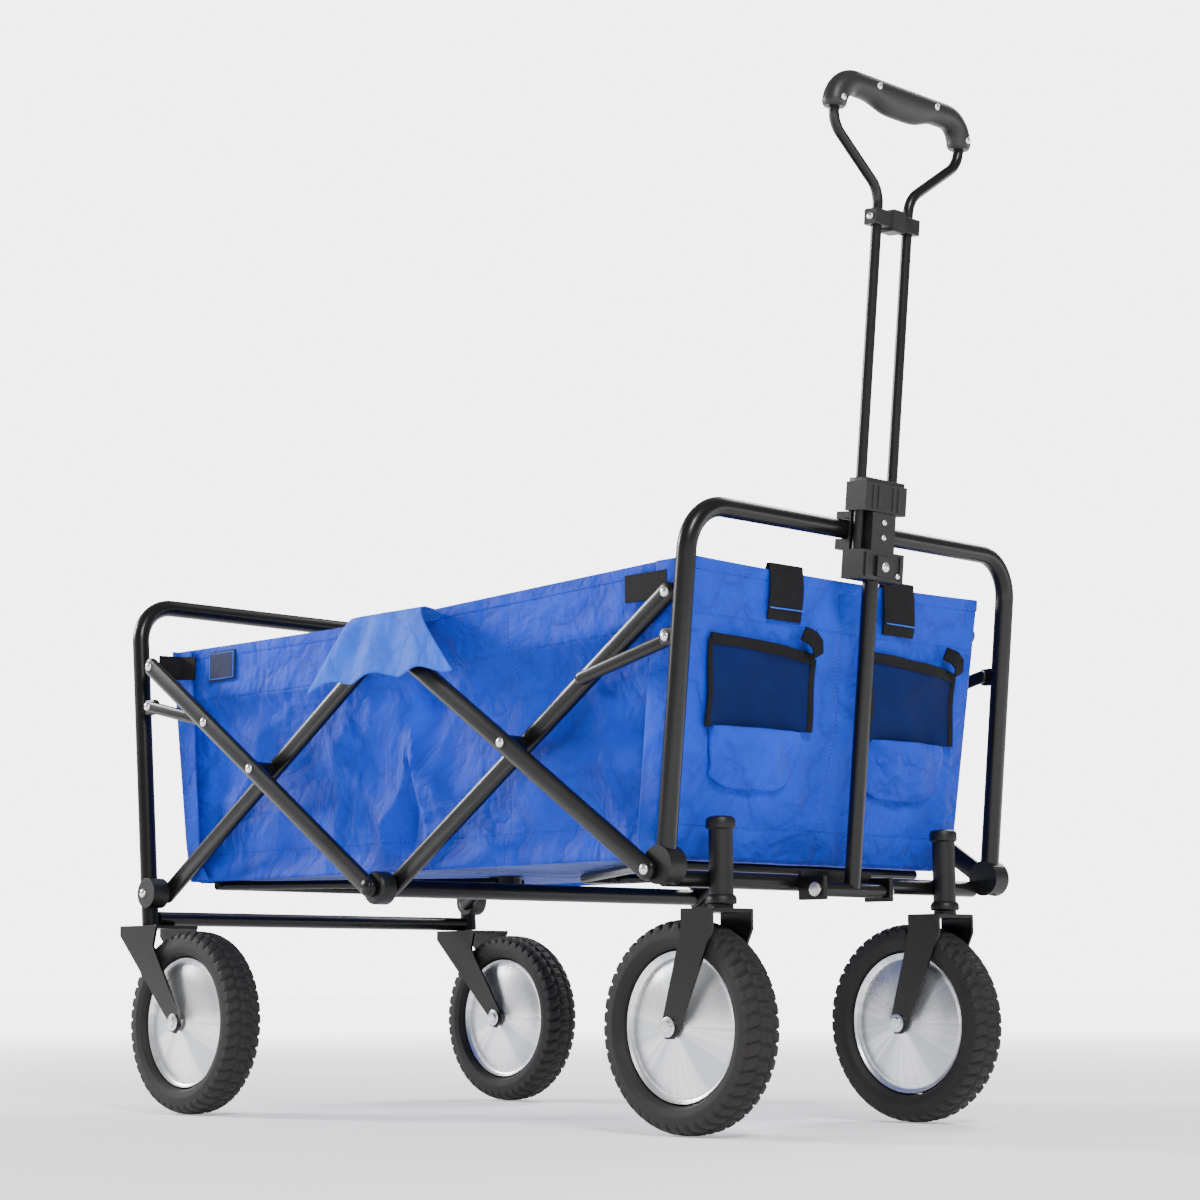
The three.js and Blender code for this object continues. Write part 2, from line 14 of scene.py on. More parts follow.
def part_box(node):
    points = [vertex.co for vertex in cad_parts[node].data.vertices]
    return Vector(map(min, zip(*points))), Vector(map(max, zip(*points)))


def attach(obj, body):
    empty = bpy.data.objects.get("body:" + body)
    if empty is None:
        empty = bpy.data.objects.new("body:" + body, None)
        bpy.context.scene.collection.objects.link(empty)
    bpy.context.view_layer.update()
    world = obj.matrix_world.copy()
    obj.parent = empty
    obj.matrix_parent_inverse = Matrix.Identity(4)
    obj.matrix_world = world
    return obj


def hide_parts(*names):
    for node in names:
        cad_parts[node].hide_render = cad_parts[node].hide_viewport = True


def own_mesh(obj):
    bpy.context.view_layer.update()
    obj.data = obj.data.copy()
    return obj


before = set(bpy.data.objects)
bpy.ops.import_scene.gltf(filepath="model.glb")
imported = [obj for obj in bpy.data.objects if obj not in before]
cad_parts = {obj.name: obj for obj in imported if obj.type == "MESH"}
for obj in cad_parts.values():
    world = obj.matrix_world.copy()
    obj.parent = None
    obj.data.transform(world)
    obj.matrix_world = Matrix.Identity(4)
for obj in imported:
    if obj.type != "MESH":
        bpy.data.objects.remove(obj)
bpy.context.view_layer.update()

SIDES = (("right", -1), ("left", 1))
ENDS = (("rear", -1), ("front", 1))
low_corner, high_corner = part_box("bottom_cross_tube")
ORIGIN_SHIFT = 1000 * (low_corner.x + high_corner.x) / 2

# Linkage
BAR_ANGLE = math.radians(33.3)
BAR_TO_MIDDLE = 245
BAR_TO_END = 236
CROSSING_X = BAR_TO_MIDDLE * math.cos(BAR_ANGLE)
CROSSING_Z = 372.5
STAY_ON_BAR = 104
STAY_POST = (415, 457.5)
INNER_LAYER = (221, 229.5)
OUTER_LAYER = (251.5, 259.5)
TOP_MIDDLE = (0, CROSSING_Z + BAR_TO_MIDDLE * math.sin(BAR_ANGLE))
BOTTOM_MIDDLE = (0, CROSSING_Z - BAR_TO_MIDDLE * math.sin(BAR_ANGLE))

# Frames, handle and wheels
POST_Y = 240.4
POST_R = 9.5
LEAN = 0.106
FRAME_TOP = 581
HINGE = (429, 229)
ROD_Y = 23.5
ROD_R = 5.25
LOOP_Y = 97
LOOP_TOP = 787
WHEELS = {
    "rear_wheel_right": (-328, -236.4),
    "rear_wheel_left": (-328, 236.4),
    "front_wheel_right": (368.5, -166),
    "front_wheel_left": (368.5, 166),
}
WHEEL_R = 100

# Bag
WALL_Y = 215.5


def metres(points):
    """Layout millimetres to frame metres: (x + shift, y, z) / 1000."""
    return (np.asarray(points, float) + (ORIGIN_SHIFT, 0, 0)) / 1000


def smoothstep(low, high, x):
    """0 below low, 1 above high, 3t^2 - 2t^3 between them."""
    t = np.clip((x - low) / (high - low), 0, 1)
    return t * t * (3 - 2 * t)


# ---------------------------------------------------------------- shapes
def grid_shape(points, uv=None, wrap=(False, False)):
    """Quads between the neighbours of an (n, m, 3) grid of points; wrap joins the last row or column
    to the first."""
    n, m = points.shape[:2]
    index = np.arange(n * m).reshape(n, m)
    if wrap[0]:
        index = np.vstack([index, index[:1]])
    if wrap[1]:
        index = np.hstack([index, index[:, :1]])
    corners = (index[:-1, :-1], index[1:, :-1], index[1:, 1:], index[:-1, 1:])
    faces = np.stack([c.ravel() for c in corners], axis=1)
    if uv is None:
        u, v = np.meshgrid(np.linspace(0, 1, n), np.linspace(0, 1, m), indexing="ij")
        uv = np.stack([u, v], axis=-1)
    return points.reshape(-1, 3), faces.tolist(), uv.reshape(-1, 2)


def together(*shapes):
    """Several shapes as one: their points in a row and their faces renumbered."""
    points, faces, uvs, start = [], [], [], 0
    for p, f, uv in shapes:
        points.append(p)
        uvs.append(uv)
        faces += [[i + start for i in face] for face in f]
        start += len(p)
    return np.vstack(points), faces, np.vstack(uvs)


def piece(name, shape, material, slot, body=None, replaces=(), wall=0, bevel=0, sharp=35):
    """A mesh object at the origin from a shape in layout millimetres: doubles merged, faces outward,
    smooth except where faces meet at more than the sharp angle."""
    points, faces, uv = shape
    mesh = bpy.data.meshes.new(name)
    mesh.from_pydata(metres(points), [], faces)
    loops = np.zeros(len(mesh.loops), np.int32)
    mesh.loops.foreach_get("vertex_index", loops)
    mesh.uv_layers.new(name="cut").data.foreach_set("uv", uv[loops].astype(np.float32).ravel())
    work = bmesh.new()
    work.from_mesh(mesh)
    bmesh.ops.remove_doubles(work, verts=work.verts, dist=1e-6)
    bmesh.ops.recalc_face_normals(work, faces=work.faces)
    work.to_mesh(mesh)
    work.free()
    return dress(bpy.data.objects.new(name, mesh), material, body, replaces, wall, bevel, sharp)


def dress(obj, material, body, replaces, wall=0, bevel=0, sharp=35):
    """Links a finished mesh, gives it its material and finish, and puts it on its body."""
    bpy.context.scene.collection.objects.link(obj)
    mesh = obj.data
    mesh.materials.clear()
    mesh.materials.append(material)
    mesh.polygons.foreach_set("use_smooth", np.ones(len(mesh.polygons), bool))
    mesh.set_sharp_from_angle(angle=math.radians(sharp))
    if wall:
        solid = obj.modifiers.new("wall", "SOLIDIFY")
        solid.thickness = wall / 1000
        solid.offset = 0
    if bevel:
        edge = obj.modifiers.new("edge", "BEVEL")
        edge.width = bevel / 1000
        edge.segments = 2
        edge.limit_method = "ANGLE"
        edge.angle_limit = math.radians(32)
        edge.harden_normals = True
    if replaces:
        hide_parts(*replaces)
    if body:
        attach(obj, body)
    return obj


def softened(node, body, material, width=0.8):
    """A copy of a CAD solid with its flat faces merged and its edges rounded by a small bevel."""
    work = bmesh.new()
    work.from_mesh(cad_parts[node].data)
    bmesh.ops.remove_doubles(work, verts=work.verts, dist=1e-6)
    flat = math.radians(2)
    bmesh.ops.dissolve_limit(work, angle_limit=flat, verts=work.verts, edges=work.edges)
    mesh = bpy.data.meshes.new(f"{node}_finish")
    work.to_mesh(mesh)
    work.free()
    obj = bpy.data.objects.new(f"{node}_finish", mesh)
    return dress(obj, material, body, (node,), bevel=width)


def bent(corners, radius, per_bend=10):
    """A path through corner points, each rounded by a circular arc of the given radius."""
    corners = np.asarray(corners, float)
    path = [corners[0]]
    for before, at, after in zip(corners[:-2], corners[1:-1], corners[2:]):
        a = (before - at) / np.linalg.norm(before - at)
        b = (after - at) / np.linalg.norm(after - at)
        half = math.acos(np.clip(a @ b, -1, 1)) / 2
        middle = (a + b) / np.linalg.norm(a + b)
        centre = at + middle * radius / math.sin(half)
        swing = (np.linspace(-1, 1, per_bend + 1) * (math.pi / 2 - half))[:, None]
        across = (b - a) / np.linalg.norm(b - a)
        path.extend(centre + radius * (np.sin(swing) * across - np.cos(swing) * middle))
    path.append(corners[-1])
    return np.array(path)


def swept(path, section, normal):
    """A section (a, b) carried along a path in a plane: point + a * normal + b * (tangent x normal)."""
    path = np.asarray(path, float)
    normal = np.asarray(normal, float) / np.linalg.norm(normal)
    steps = np.diff(path, axis=0)
    steps /= np.linalg.norm(steps, axis=1)[:, None]
    tangent = np.vstack([steps[:1], steps[:-1] + steps[1:], steps[-1:]])
    tangent /= np.linalg.norm(tangent, axis=1)[:, None]
    across = np.cross(tangent, normal)
    section = np.asarray(section, float)
    a, b = section[:, 0], section[:, 1]
    points = path[:, None] + a[None, :, None] * normal + b[None, :, None] * across[:, None]
    length = np.concatenate([[0], np.cumsum(np.linalg.norm(np.diff(path, axis=0), axis=1))])
    u, v = np.meshgrid(length, np.arange(len(section)) / len(section), indexing="ij")
    shape = grid_shape(points, np.stack([u / 1000, v], axis=-1), wrap=(False, True))
    count, last = len(section), (len(path) - 1) * len(section)
    shape[1].append(list(range(count)))
    shape[1].append([last + i for i in range(count)])
    return shape


def round_section(radius, count=24):
    """A circle: radius * (cos t, sin t)."""
    t = np.linspace(0, 2 * math.pi, count, endpoint=False)
    return radius * np.stack([np.cos(t), np.sin(t)], axis=1)


def soft_box_section(width, height, power=5, count=32):
    """A superellipse: half size times sign(cos t) |cos t|^(2/power), and the same with sin t."""
    t = np.linspace(0, 2 * math.pi, count, endpoint=False)
    a = np.sign(np.cos(t)) * np.abs(np.cos(t)) ** (2 / power)
    b = np.sign(np.sin(t)) * np.abs(np.sin(t)) ** (2 / power)
    return np.stack([a * width / 2, b * height / 2], axis=1)


def turned(profile, centre, axis="y", segments=64):
    """A profile of (radius, height) turned about an axis through centre. u runs round as a share of a
    turn and v is the radius in metres."""
    profile = np.asarray(profile, float)
    t = np.linspace(0, 2 * math.pi, segments, endpoint=False)
    r, h = profile[None, :, 0], profile[None, :, 1]
    a, b = r * np.cos(t)[:, None], r * np.sin(t)[:, None]
    h = np.broadcast_to(h, a.shape)
    points = np.stack([a, h, b] if axis == "y" else [a, b, h], axis=-1) + np.asarray(centre, float)
    u = np.broadcast_to((t / (2 * math.pi))[:, None], a.shape)
    uv = np.stack([u, np.broadcast_to(r / 1000, a.shape)], axis=-1)
    return grid_shape(points, uv, wrap=(True, False))


def dome(x, z, y, side, radius, height):
    """A rivet head: a quarter ellipse turned about Y, closed by a flat back."""
    t = np.linspace(0, math.pi / 2, 7)
    profile = [(0, 0)] + [(radius * math.cos(a), side * height * math.sin(a)) for a in t]
    return turned(profile, (x, y, z), segments=20)


def bar_shape(start, end, width, near, far, side):
    """A flat-oval bar with round ends: stadium outlines whose half width follows a superellipse
    through the thickness."""
    (x0, z0), (x1, z1) = start, end
    turn = math.atan2(z1 - z0, x1 - x0)
    length = math.hypot(x1 - x0, z1 - z0)
    end_arc = np.linspace(-math.pi / 2, math.pi / 2, 13)
    t = np.concatenate([end_arc, end_arc + math.pi])
    offset = np.concatenate([np.full(13, length), np.zeros(13)])
    through = np.linspace(-1, 1, 15)
    reach = (1 - np.abs(through) ** 3.2) ** (1 / 3.2)
    half = width / 2 - (1 - reach) * (far - near) / 2 * 1.25
    along = offset[None, :] + half[:, None] * np.cos(t)
    up = half[:, None] * np.sin(t)
    y = side * ((near + far) / 2 + through * (far - near) / 2)[:, None] + 0 * along
    x = x0 + along * math.cos(turn) - up * math.sin(turn)
    z = z0 + along * math.sin(turn) + up * math.cos(turn)
    shape = grid_shape(np.stack([x, y, z], axis=-1), wrap=(False, True))
    count = len(t)
    last = 14 * count
    shape[1].append(list(range(count)))
    shape[1].append([last + i for i in range(count)])
    return shape


# ---------------------------------------------------------------- materials
class Value:
    """A shader socket that takes part in Python expressions by adding Math nodes."""

    def __init__(self, finish, socket):
        self.finish = finish
        self.socket = socket

    def math(self, operation, *values, reverse=False):
        order = (*values, self) if reverse else (self, *values)
        return self.finish.node("ShaderNodeMath", {"operation": operation}, dict(enumerate(order)))

    def __add__(self, other):
        return self.math("ADD", other)

    __radd__ = __add__

    def __mul__(self, other):
        return self.math("MULTIPLY", other)

    __rmul__ = __mul__

    def __sub__(self, other):
        return self.math("SUBTRACT", other)

    def __rsub__(self, other):
        return self.math("SUBTRACT", other, reverse=True)

    def sin(self):
        return self.math("SINE")

    def abs(self):
        return self.math("ABSOLUTE")

    def above(self, level, soft):
        """0 below level - soft and 1 above level + soft."""
        node = {"interpolation_type": "SMOOTHSTEP"}
        inputs = {"Value": self, "From Min": level - soft, "From Max": level + soft}
        return self.finish.node("ShaderNodeMapRange", node, inputs)


class Finish:
    """A material being built: node() adds any node, and show() sets the shader's own sockets."""

    def __init__(self, name):
        self.material = bpy.data.materials.new(name)
        self.material.use_nodes = True
        self.tree = self.material.node_tree
        self.shader = self.tree.nodes["Principled BSDF"]

    def node(self, kind, settings, inputs, output=0):
        made = self.tree.nodes.new(kind)
        for key, value in settings.items():
            setattr(made, key, value)
        for key, value in inputs.items():
            self.feed(made.inputs[key], value)
        return Value(self, made.outputs[output])

    def feed(self, socket, value):
        if isinstance(value, Value):
            self.tree.links.new(value.socket, socket)
        else:
            socket.default_value = value

    def coordinates(self, output="Object"):
        return self.node("ShaderNodeTexCoord", {}, {}, output)

    def cut(self):
        """The piece's own map: metres along the cloth, or a share of a turn and a radius."""
        return self.node("ShaderNodeUVMap", {"uv_map": "cut"}, {})

    def parts(self, vector):
        split = self.tree.nodes.new("ShaderNodeSeparateXYZ")
        self.feed(split.inputs[0], vector)
        return [Value(self, socket) for socket in split.outputs]

    def noise(self, scale, detail=3, vector=None):
        vector = vector or self.coordinates()
        return self.node("ShaderNodeTexNoise", {}, {"Vector": vector, "Scale": scale, "Detail": detail})

    def mix(self, factor, first, second):
        made = self.tree.nodes.new("ShaderNodeMix")
        made.data_type = "RGBA"
        self.feed(made.inputs["Factor"], factor)
        self.feed(made.inputs[6], (*first, 1) if isinstance(first, tuple) else first)
        self.feed(made.inputs[7], (*second, 1) if isinstance(second, tuple) else second)
        return Value(self, made.outputs[2])

    def bump(self, height, distance, strength=1.0):
        inputs = {"Height": height, "Distance": distance / 1000, "Strength": strength}
        return self.node("ShaderNodeBump", {}, inputs)

    def show(self, **sockets):
        for key, value in sockets.items():
            name = key.replace("_", " ")
            self.feed(self.shader.inputs[name], (*value, 1) if isinstance(value, tuple) else value)
        return self.material


def powder_coat(name="powder_coat", shade=0.0035):
    """Satin black powder coat: fine orange peel, cloudy roughness and faint dust."""
    f = Finish(name)
    cloud = f.noise(14)
    peel = f.noise(900, 2)
    colour = f.mix(cloud, (shade * 0.75, shade * 0.72, shade * 0.7), (shade * 1.5, shade * 1.45, shade * 1.4))
    return f.show(
        Base_Color=colour,
        Roughness=0.26 + cloud * 0.12,
        Metallic=0.0,
        Specular_IOR_Level=0.24,
        Coat_Weight=0.1,
        Coat_Roughness=0.12,
        Normal=f.bump(peel, 0.25, 0.35),
    )


def moulded_plastic(name="moulded_plastic", shade=0.004, grain=1500):
    """Black moulded plastic: fine grain and slightly uneven gloss."""
    f = Finish(name)
    cloud = f.noise(30)
    texture = f.noise(grain, 3)
    colour = f.mix(cloud, (shade * 0.7,) * 3, (shade * 1.5,) * 3)
    return f.show(
        Base_Color=colour,
        Roughness=0.38 + cloud * 0.16,
        Specular_IOR_Level=0.35,
        Normal=f.bump(texture, 0.3, 0.4),
    )


def tyre_rubber():
    """Tyre rubber: dull, dusty in broad patches, with a fine moulded grain."""
    f = Finish("tyre_rubber")
    dust = f.noise(22, 5)
    grain = f.noise(700, 4)
    colour = f.mix(dust, (0.006, 0.0057, 0.0055), (0.022, 0.020, 0.019))
    return f.show(
        Base_Color=colour,
        Roughness=0.6 + dust * 0.2,
        Specular_IOR_Level=0.35,
        Normal=f.bump(grain, 0.5, 0.5),
    )


def spun_metal():
    """Spun sheet metal: rings left by the tool, and painted reflections: bright radial sectors and streaks
    put into the colour.
    """
    f = Finish("spun_metal")
    turn, radius, _ = f.parts(f.cut())
    angle = turn * (2 * math.pi)
    glint_sectors = (angle * 3 + 0.6).sin() * 0.3 + (angle * 5 + 2.1).sin() * 0.25 + (angle * 9).sin() * 0.12
    round_about = {"X": angle.sin(), "Y": (angle + math.pi / 2).sin(), "Z": 0.0}
    streak_at = f.node("ShaderNodeCombineXYZ", {}, round_about)
    glint_streaks = f.noise(9, 4, streak_at)
    # Painted reflection: a mask of bright radial sectors and streaks that lightens the colour and lowers the
    # roughness.
    painted_light = (glint_sectors * 0.6 + glint_streaks).above(0.5, 0.35)
    rings = (radius * 5200).sin()
    # The colour runs from unlit metal grey to a painted highlight near white.
    colour = f.mix(painted_light, (0.62, 0.64, 0.68), (0.98, 0.98, 0.99))
    return f.show(
        Base_Color=colour,
        Metallic=0.9,
        Roughness=0.38 - painted_light * 0.12,
        Normal=f.bump(rings, 0.05, 0.25),
    )


def zinc():
    """Zinc plated steel: bright, with fine scratches and a cloudy gloss."""
    f = Finish("zinc_plate")
    cloud = f.noise(90, 4)
    colour = f.mix(cloud, (0.55, 0.56, 0.58), (0.86, 0.87, 0.88))
    scratches = f.noise(1200, 3)
    return f.show(
        Base_Color=colour,
        Metallic=1.0,
        Roughness=0.2 + cloud * 0.2,
        Normal=f.bump(scratches, 0.1, 0.3),
    )


def woven(name, dark, painted_light, pitch=1.1, seams=(), crease=1.0):
    """Woven cloth on its cut map in metres: crossed threads, soft creases, and painted shade that darkens the
    folds and creases in the colour. Each seam is (axis, place, width): a stitched line across the cut."""
    f = Finish(name)
    cut = f.cut()
    u, v, _ = f.parts(cut)
    across = (u * (2 * math.pi / pitch * 1000)).sin()
    down = (v * (2 * math.pi / pitch * 1000)).sin()
    threads = across * down
    warp = f.noise(6, 2)
    bent_at = f.node("ShaderNodeVectorMath", {"operation": "ADD"}, {0: f.coordinates(), 1: warp * 0.09})
    creases = (f.noise(13, 3, bent_at) - 0.5).abs() * 2.6
    fine = (f.noise(34, 3, bent_at) - 0.5).abs() * 2.6
    folds = f.noise(5, 3)
    cloud = folds * 0.6 + creases * 0.4
    # Painted shade: the colour runs from the dark to the light end with the fold and crease noise, so that
    # broad folds look lit and shaded.
    shade = cloud.above(0.45, 0.5)
    colour = f.mix(shade, dark, painted_light)
    # Painted crease shade: thin dark lines along the crease valleys, scaled by crease.
    painted_crease_shade = (1 - creases.above(0.06, 0.06)) * 0.14 + (1 - fine.above(0.05, 0.05)) * 0.05
    colour = f.mix(painted_crease_shade * crease, colour, tuple(c * 0.4 for c in dark))
    colour = f.mix(threads.above(0.2, 0.7) * 0.12, colour, tuple(c * 0.6 for c in dark))
    height = threads * 0.03 + (creases * 10.0 + fine * 3.0) * crease
    for axis, place, width in seams:
        along, over = (u, v) if axis == "v" else (v, u)
        line = 1 - (over - place).abs().above(width, width * 0.5)
        dash = (along * 1570).sin().above(0.0, 0.4)
        colour = f.mix(line * 0.55, colour, tuple(c * 0.45 for c in dark))
        colour = f.mix(line * dash * 0.35, colour, tuple(min(1, c * 1.5) for c in painted_light))
        height = height - line * 0.5
    return f.show(
        Base_Color=colour,
        Roughness=0.72 + cloud * 0.12,
        Normal=f.bump(height, 1.0, 0.85),
        Sheen_Weight=0.06,
        Specular_IOR_Level=0.3,
        Sheen_Roughness=0.4,
    )


def webbing():
    """Black polypropylene webbing: diagonal ribs across the strap."""
    f = Finish("webbing")
    u, v, _ = f.parts(f.cut())
    ribs = (u * 3000 + v * 900).sin()
    cloud = f.noise(60)
    colour = f.mix(cloud, (0.002, 0.002, 0.0025), (0.009, 0.009, 0.011))
    return f.show(
        Base_Color=colour,
        Roughness=0.7 + cloud * 0.1,
        Specular_IOR_Level=0.2,
        Normal=f.bump(ribs, 0.4, 0.5),
    )


def pocket_mesh():
    """Knitted mesh over blue cloth: dark threads round small openings that show the blue."""
    f = Finish("pocket_mesh")
    u, v, _ = f.parts(f.cut())
    pitch = 2 * math.pi / 0.0026
    holes = ((u * pitch).sin() * (v * pitch).sin()).above(0.15, 0.35)
    cloud = f.noise(30, 4)
    base = f.mix(cloud, (0.001, 0.003, 0.022), (0.002, 0.009, 0.07))
    colour = f.mix(holes * 0.4, base, (0.002, 0.02, 0.2))
    return f.show(
        Base_Color=colour,
        Roughness=0.75 + cloud * 0.1,
        Specular_IOR_Level=0.15,
        Normal=f.bump(holes, -0.4, 0.5),
    )


COAT = powder_coat()
PLASTIC = moulded_plastic()
GRIP = moulded_plastic("grip_plastic", 0.009, 900)
RUBBER = tyre_rubber()
SPUN = spun_metal()
ZINC = zinc()
WEB = webbing()
MESH = pocket_mesh()
# Painted shade: the shaded and lit ends of the blue cloth's colour, mixed by the fold and crease noise in
# woven().
SHADED_BLUE = (0.001, 0.024, 0.38)
LIT_BLUE = (0.002, 0.062, 0.74)
SIDE_SEAMS = (("v", 0.205, 0.0012), ("v", 0.03, 0.001), ("u", 0.56, 0.001))
PANEL_SEAMS = (("v", 0.225, 0.001), ("v", 0.03, 0.001), ("u", 0.222, 0.001))
FLOOR_SEAMS = (("v", 0.1, 0.001), ("v", 0.3, 0.001))
SIDE_CLOTH = woven("side_cloth", SHADED_BLUE, LIT_BLUE, seams=SIDE_SEAMS)
PANEL_CLOTH = woven("panel_cloth", SHADED_BLUE, LIT_BLUE, seams=PANEL_SEAMS)
PLAIN_CLOTH = woven("plain_cloth", SHADED_BLUE, LIT_BLUE)
FLAP_CLOTH = woven("flap_cloth", (0.010, 0.075, 0.55), (0.022, 0.15, 0.86), crease=0.8)
FLOOR_CLOTH = woven("floor_cloth", (0.006, 0.03, 0.22), (0.012, 0.07, 0.42), seams=FLOOR_SEAMS)
PATCH_CLOTH = woven("patch_cloth", (0.003, 0.006, 0.03), (0.006, 0.012, 0.07), crease=0.2)


# ---------------------------------------------------------------- frames
def post_x(end, z):
    return (-417 if end < 0 else 411.3) + end * LEAN * (z - 249)


LEAN_NORMAL = {end: (1, 0, -end * LEAN) for _, end in ENDS}


def lug_shape(end, side, near, far):
    """A short plate from the post out to the stay's pivot."""
    x, z = end * STAY_POST[0], STAY_POST[1]
    return bar_shape((post_x(end, z), z), (x, z), 18, near, far, side)


for end_name, end in ENDS:
    bottom = 208.8 if end < 0 else 231
    route = ((-1, bottom), (-1, FRAME_TOP), (1, FRAME_TOP), (1, bottom))
    corners = [(post_x(end, z), side * POST_Y, z) for side, z in route]
    hoop = swept(bent(corners, 45, 14), round_section(POST_R, 32), LEAN_NORMAL[end])
    lug_layer = (238.2, 244.9) if end < 0 else (236.1, 242.8)
    lugs = [lug_shape(end, side, *lug_layer) for _, side in SIDES]
    name = f"{end_name}_frame_tube"
    piece(f"{end_name}_hoop", together(hoop, *lugs), COAT, "black_steel", f"{end_name}_frame", (name,))

rear_bar = swept([(-413.4, -230.5, 215.5), (-413.4, 230.5, 215.5)], round_section(8, 28), (1, 0, 0))
piece("rear_bar", rear_bar, COAT, "black_steel", "rear_frame", ("rear_cross_bar",))
middle_tube = together(
    swept([(0, -220.5, BOTTOM_MIDDLE[1]), (0, 220.5, BOTTOM_MIDDLE[1])], round_section(9, 28), (1, 0, 0)),
    *[dome(*BOTTOM_MIDDLE, side * 259.6, side, 8.5, 4.2) for _, side in SIDES],
)
piece("middle_tube", middle_tube, COAT, "black_steel", "rear_high_bars", ("bottom_cross_tube",))
softened("front_cross_bar", "front_frame", COAT, 0.5)


# ---------------------------------------------------------------- linkage
def pivots(end):
    def along(length, sign):
        return (
            end * (CROSSING_X + length * math.cos(BAR_ANGLE)),
            CROSSING_Z + sign * length * math.sin(BAR_ANGLE),
        )

    return dict(
        crossing=(end * CROSSING_X, CROSSING_Z),
        low=along(BAR_TO_END, -1),
        high=along(BAR_TO_END, 1),
        on_bar=along(STAY_ON_BAR, 1),
        on_post=(end * STAY_POST[0], STAY_POST[1]),
    )


HUB_PROFILE = [
    (6, 0), (11, 0), (12, 1.2), (15.2, 1.2), (16.8, 2.6),
    (17, 4), (17, 17.4), (16.4, 19.6), (14.5, 21.2), (6, 21.4),
]


def boss(at, radius, side):
    """A plain cylinder between the two layers of bars."""
    base = min(side * 229.8, side * 251.2)
    profile = [(0, 0), (radius, 0), (radius, 21.4), (0, 21.4)]
    return turned(profile, (at[0], base, at[1]), segments=28)



for side_name, side in SIDES:
    rear, front = pivots(-1), pivots(1)
    layers = {"inner": INNER_LAYER, "outer": OUTER_LAYER}
    front_high_rivets = (front["on_bar"], front["high"])
    rear_high_rivets = (rear["crossing"], rear["on_bar"], rear["high"])
    front_low_rivets = (front["low"], front["crossing"], TOP_MIDDLE)
    bars = (
        ("rear_low_bar", "rear_low_bars", rear["low"], TOP_MIDDLE, "inner", ()),
        ("front_high_bar", "front_high_bars", BOTTOM_MIDDLE, front["high"], "inner", front_high_rivets),
        ("rear_high_bar", "rear_high_bars", BOTTOM_MIDDLE, rear["high"], "outer", rear_high_rivets),
        ("front_low_bar", "front_low_bars", front["low"], TOP_MIDDLE, "outer", front_low_rivets),
    )
    for name, body, start, end_point, layer, rivets in bars:
        near, far = layers[layer]
        shapes = [bar_shape(start, end_point, 20, near, far, side)]
        if layer == "outer":
            shapes.append(boss(rivets[0] if name == "rear_high_bar" else rivets[1], 8, side))
        if name == "front_low_bar":
            shapes.append(boss(TOP_MIDDLE, 12, side))
        node = f"{name}_{side_name}"
        piece(f"{node}_tube", together(*shapes), COAT, "black_steel", body, (node,))
        if rivets:
            heads = [dome(*at, side * (far - 0.1), side, 5.2, 3) for at in rivets]
            piece(f"{name}_{side_name}_rivets", together(*heads), ZINC, "bolt_steel", body)
    hub = turned([(r, side * (229.8 + h)) for r, h in HUB_PROFILE], (0, 0, BOTTOM_MIDDLE[1]), segments=48)
    node = f"bottom_middle_hub_{side_name}"
    piece(f"middle_hub_{side_name}", hub, PLASTIC, "black_plastic", "rear_high_bars", (node,))
    for end_name, end, near, far in (("rear", -1, 245.2, 251.2), ("front", 1, 229.8, 235.8)):
        ends = pivots(end)
        stay = bar_shape(ends["on_post"], ends["on_bar"], 13, near, far, side)
        node = f"{end_name}_stay_{side_name}"
        piece(f"{node}_bar", stay, COAT, "black_steel", f"{end_name}_stays", (node,))
        edge = far if end < 0 else 242.8
        post_rivet = dome(*ends["on_post"], side * edge, side, 5, 3)
        piece(f"{end_name}_stay_rivet_{side_name}", post_rivet, ZINC, "bolt_steel", f"{end_name}_frame")
    low_rivet = dome(rear["low"][0] - 12, rear["low"][1] + 1, side * (251.1), side, 5.2, 3)
    piece(f"rear_foot_rivet_{side_name}", low_rivet, ZINC, "bolt_steel", "rear_frame")
    for end_name, end in ENDS:
        softened(f"{end_name}_corner_hub_{side_name}", f"{end_name}_frame", PLASTIC, 1.2)


# ---------------------------------------------------------------- wheels
TREAD_BLOCKS = 46


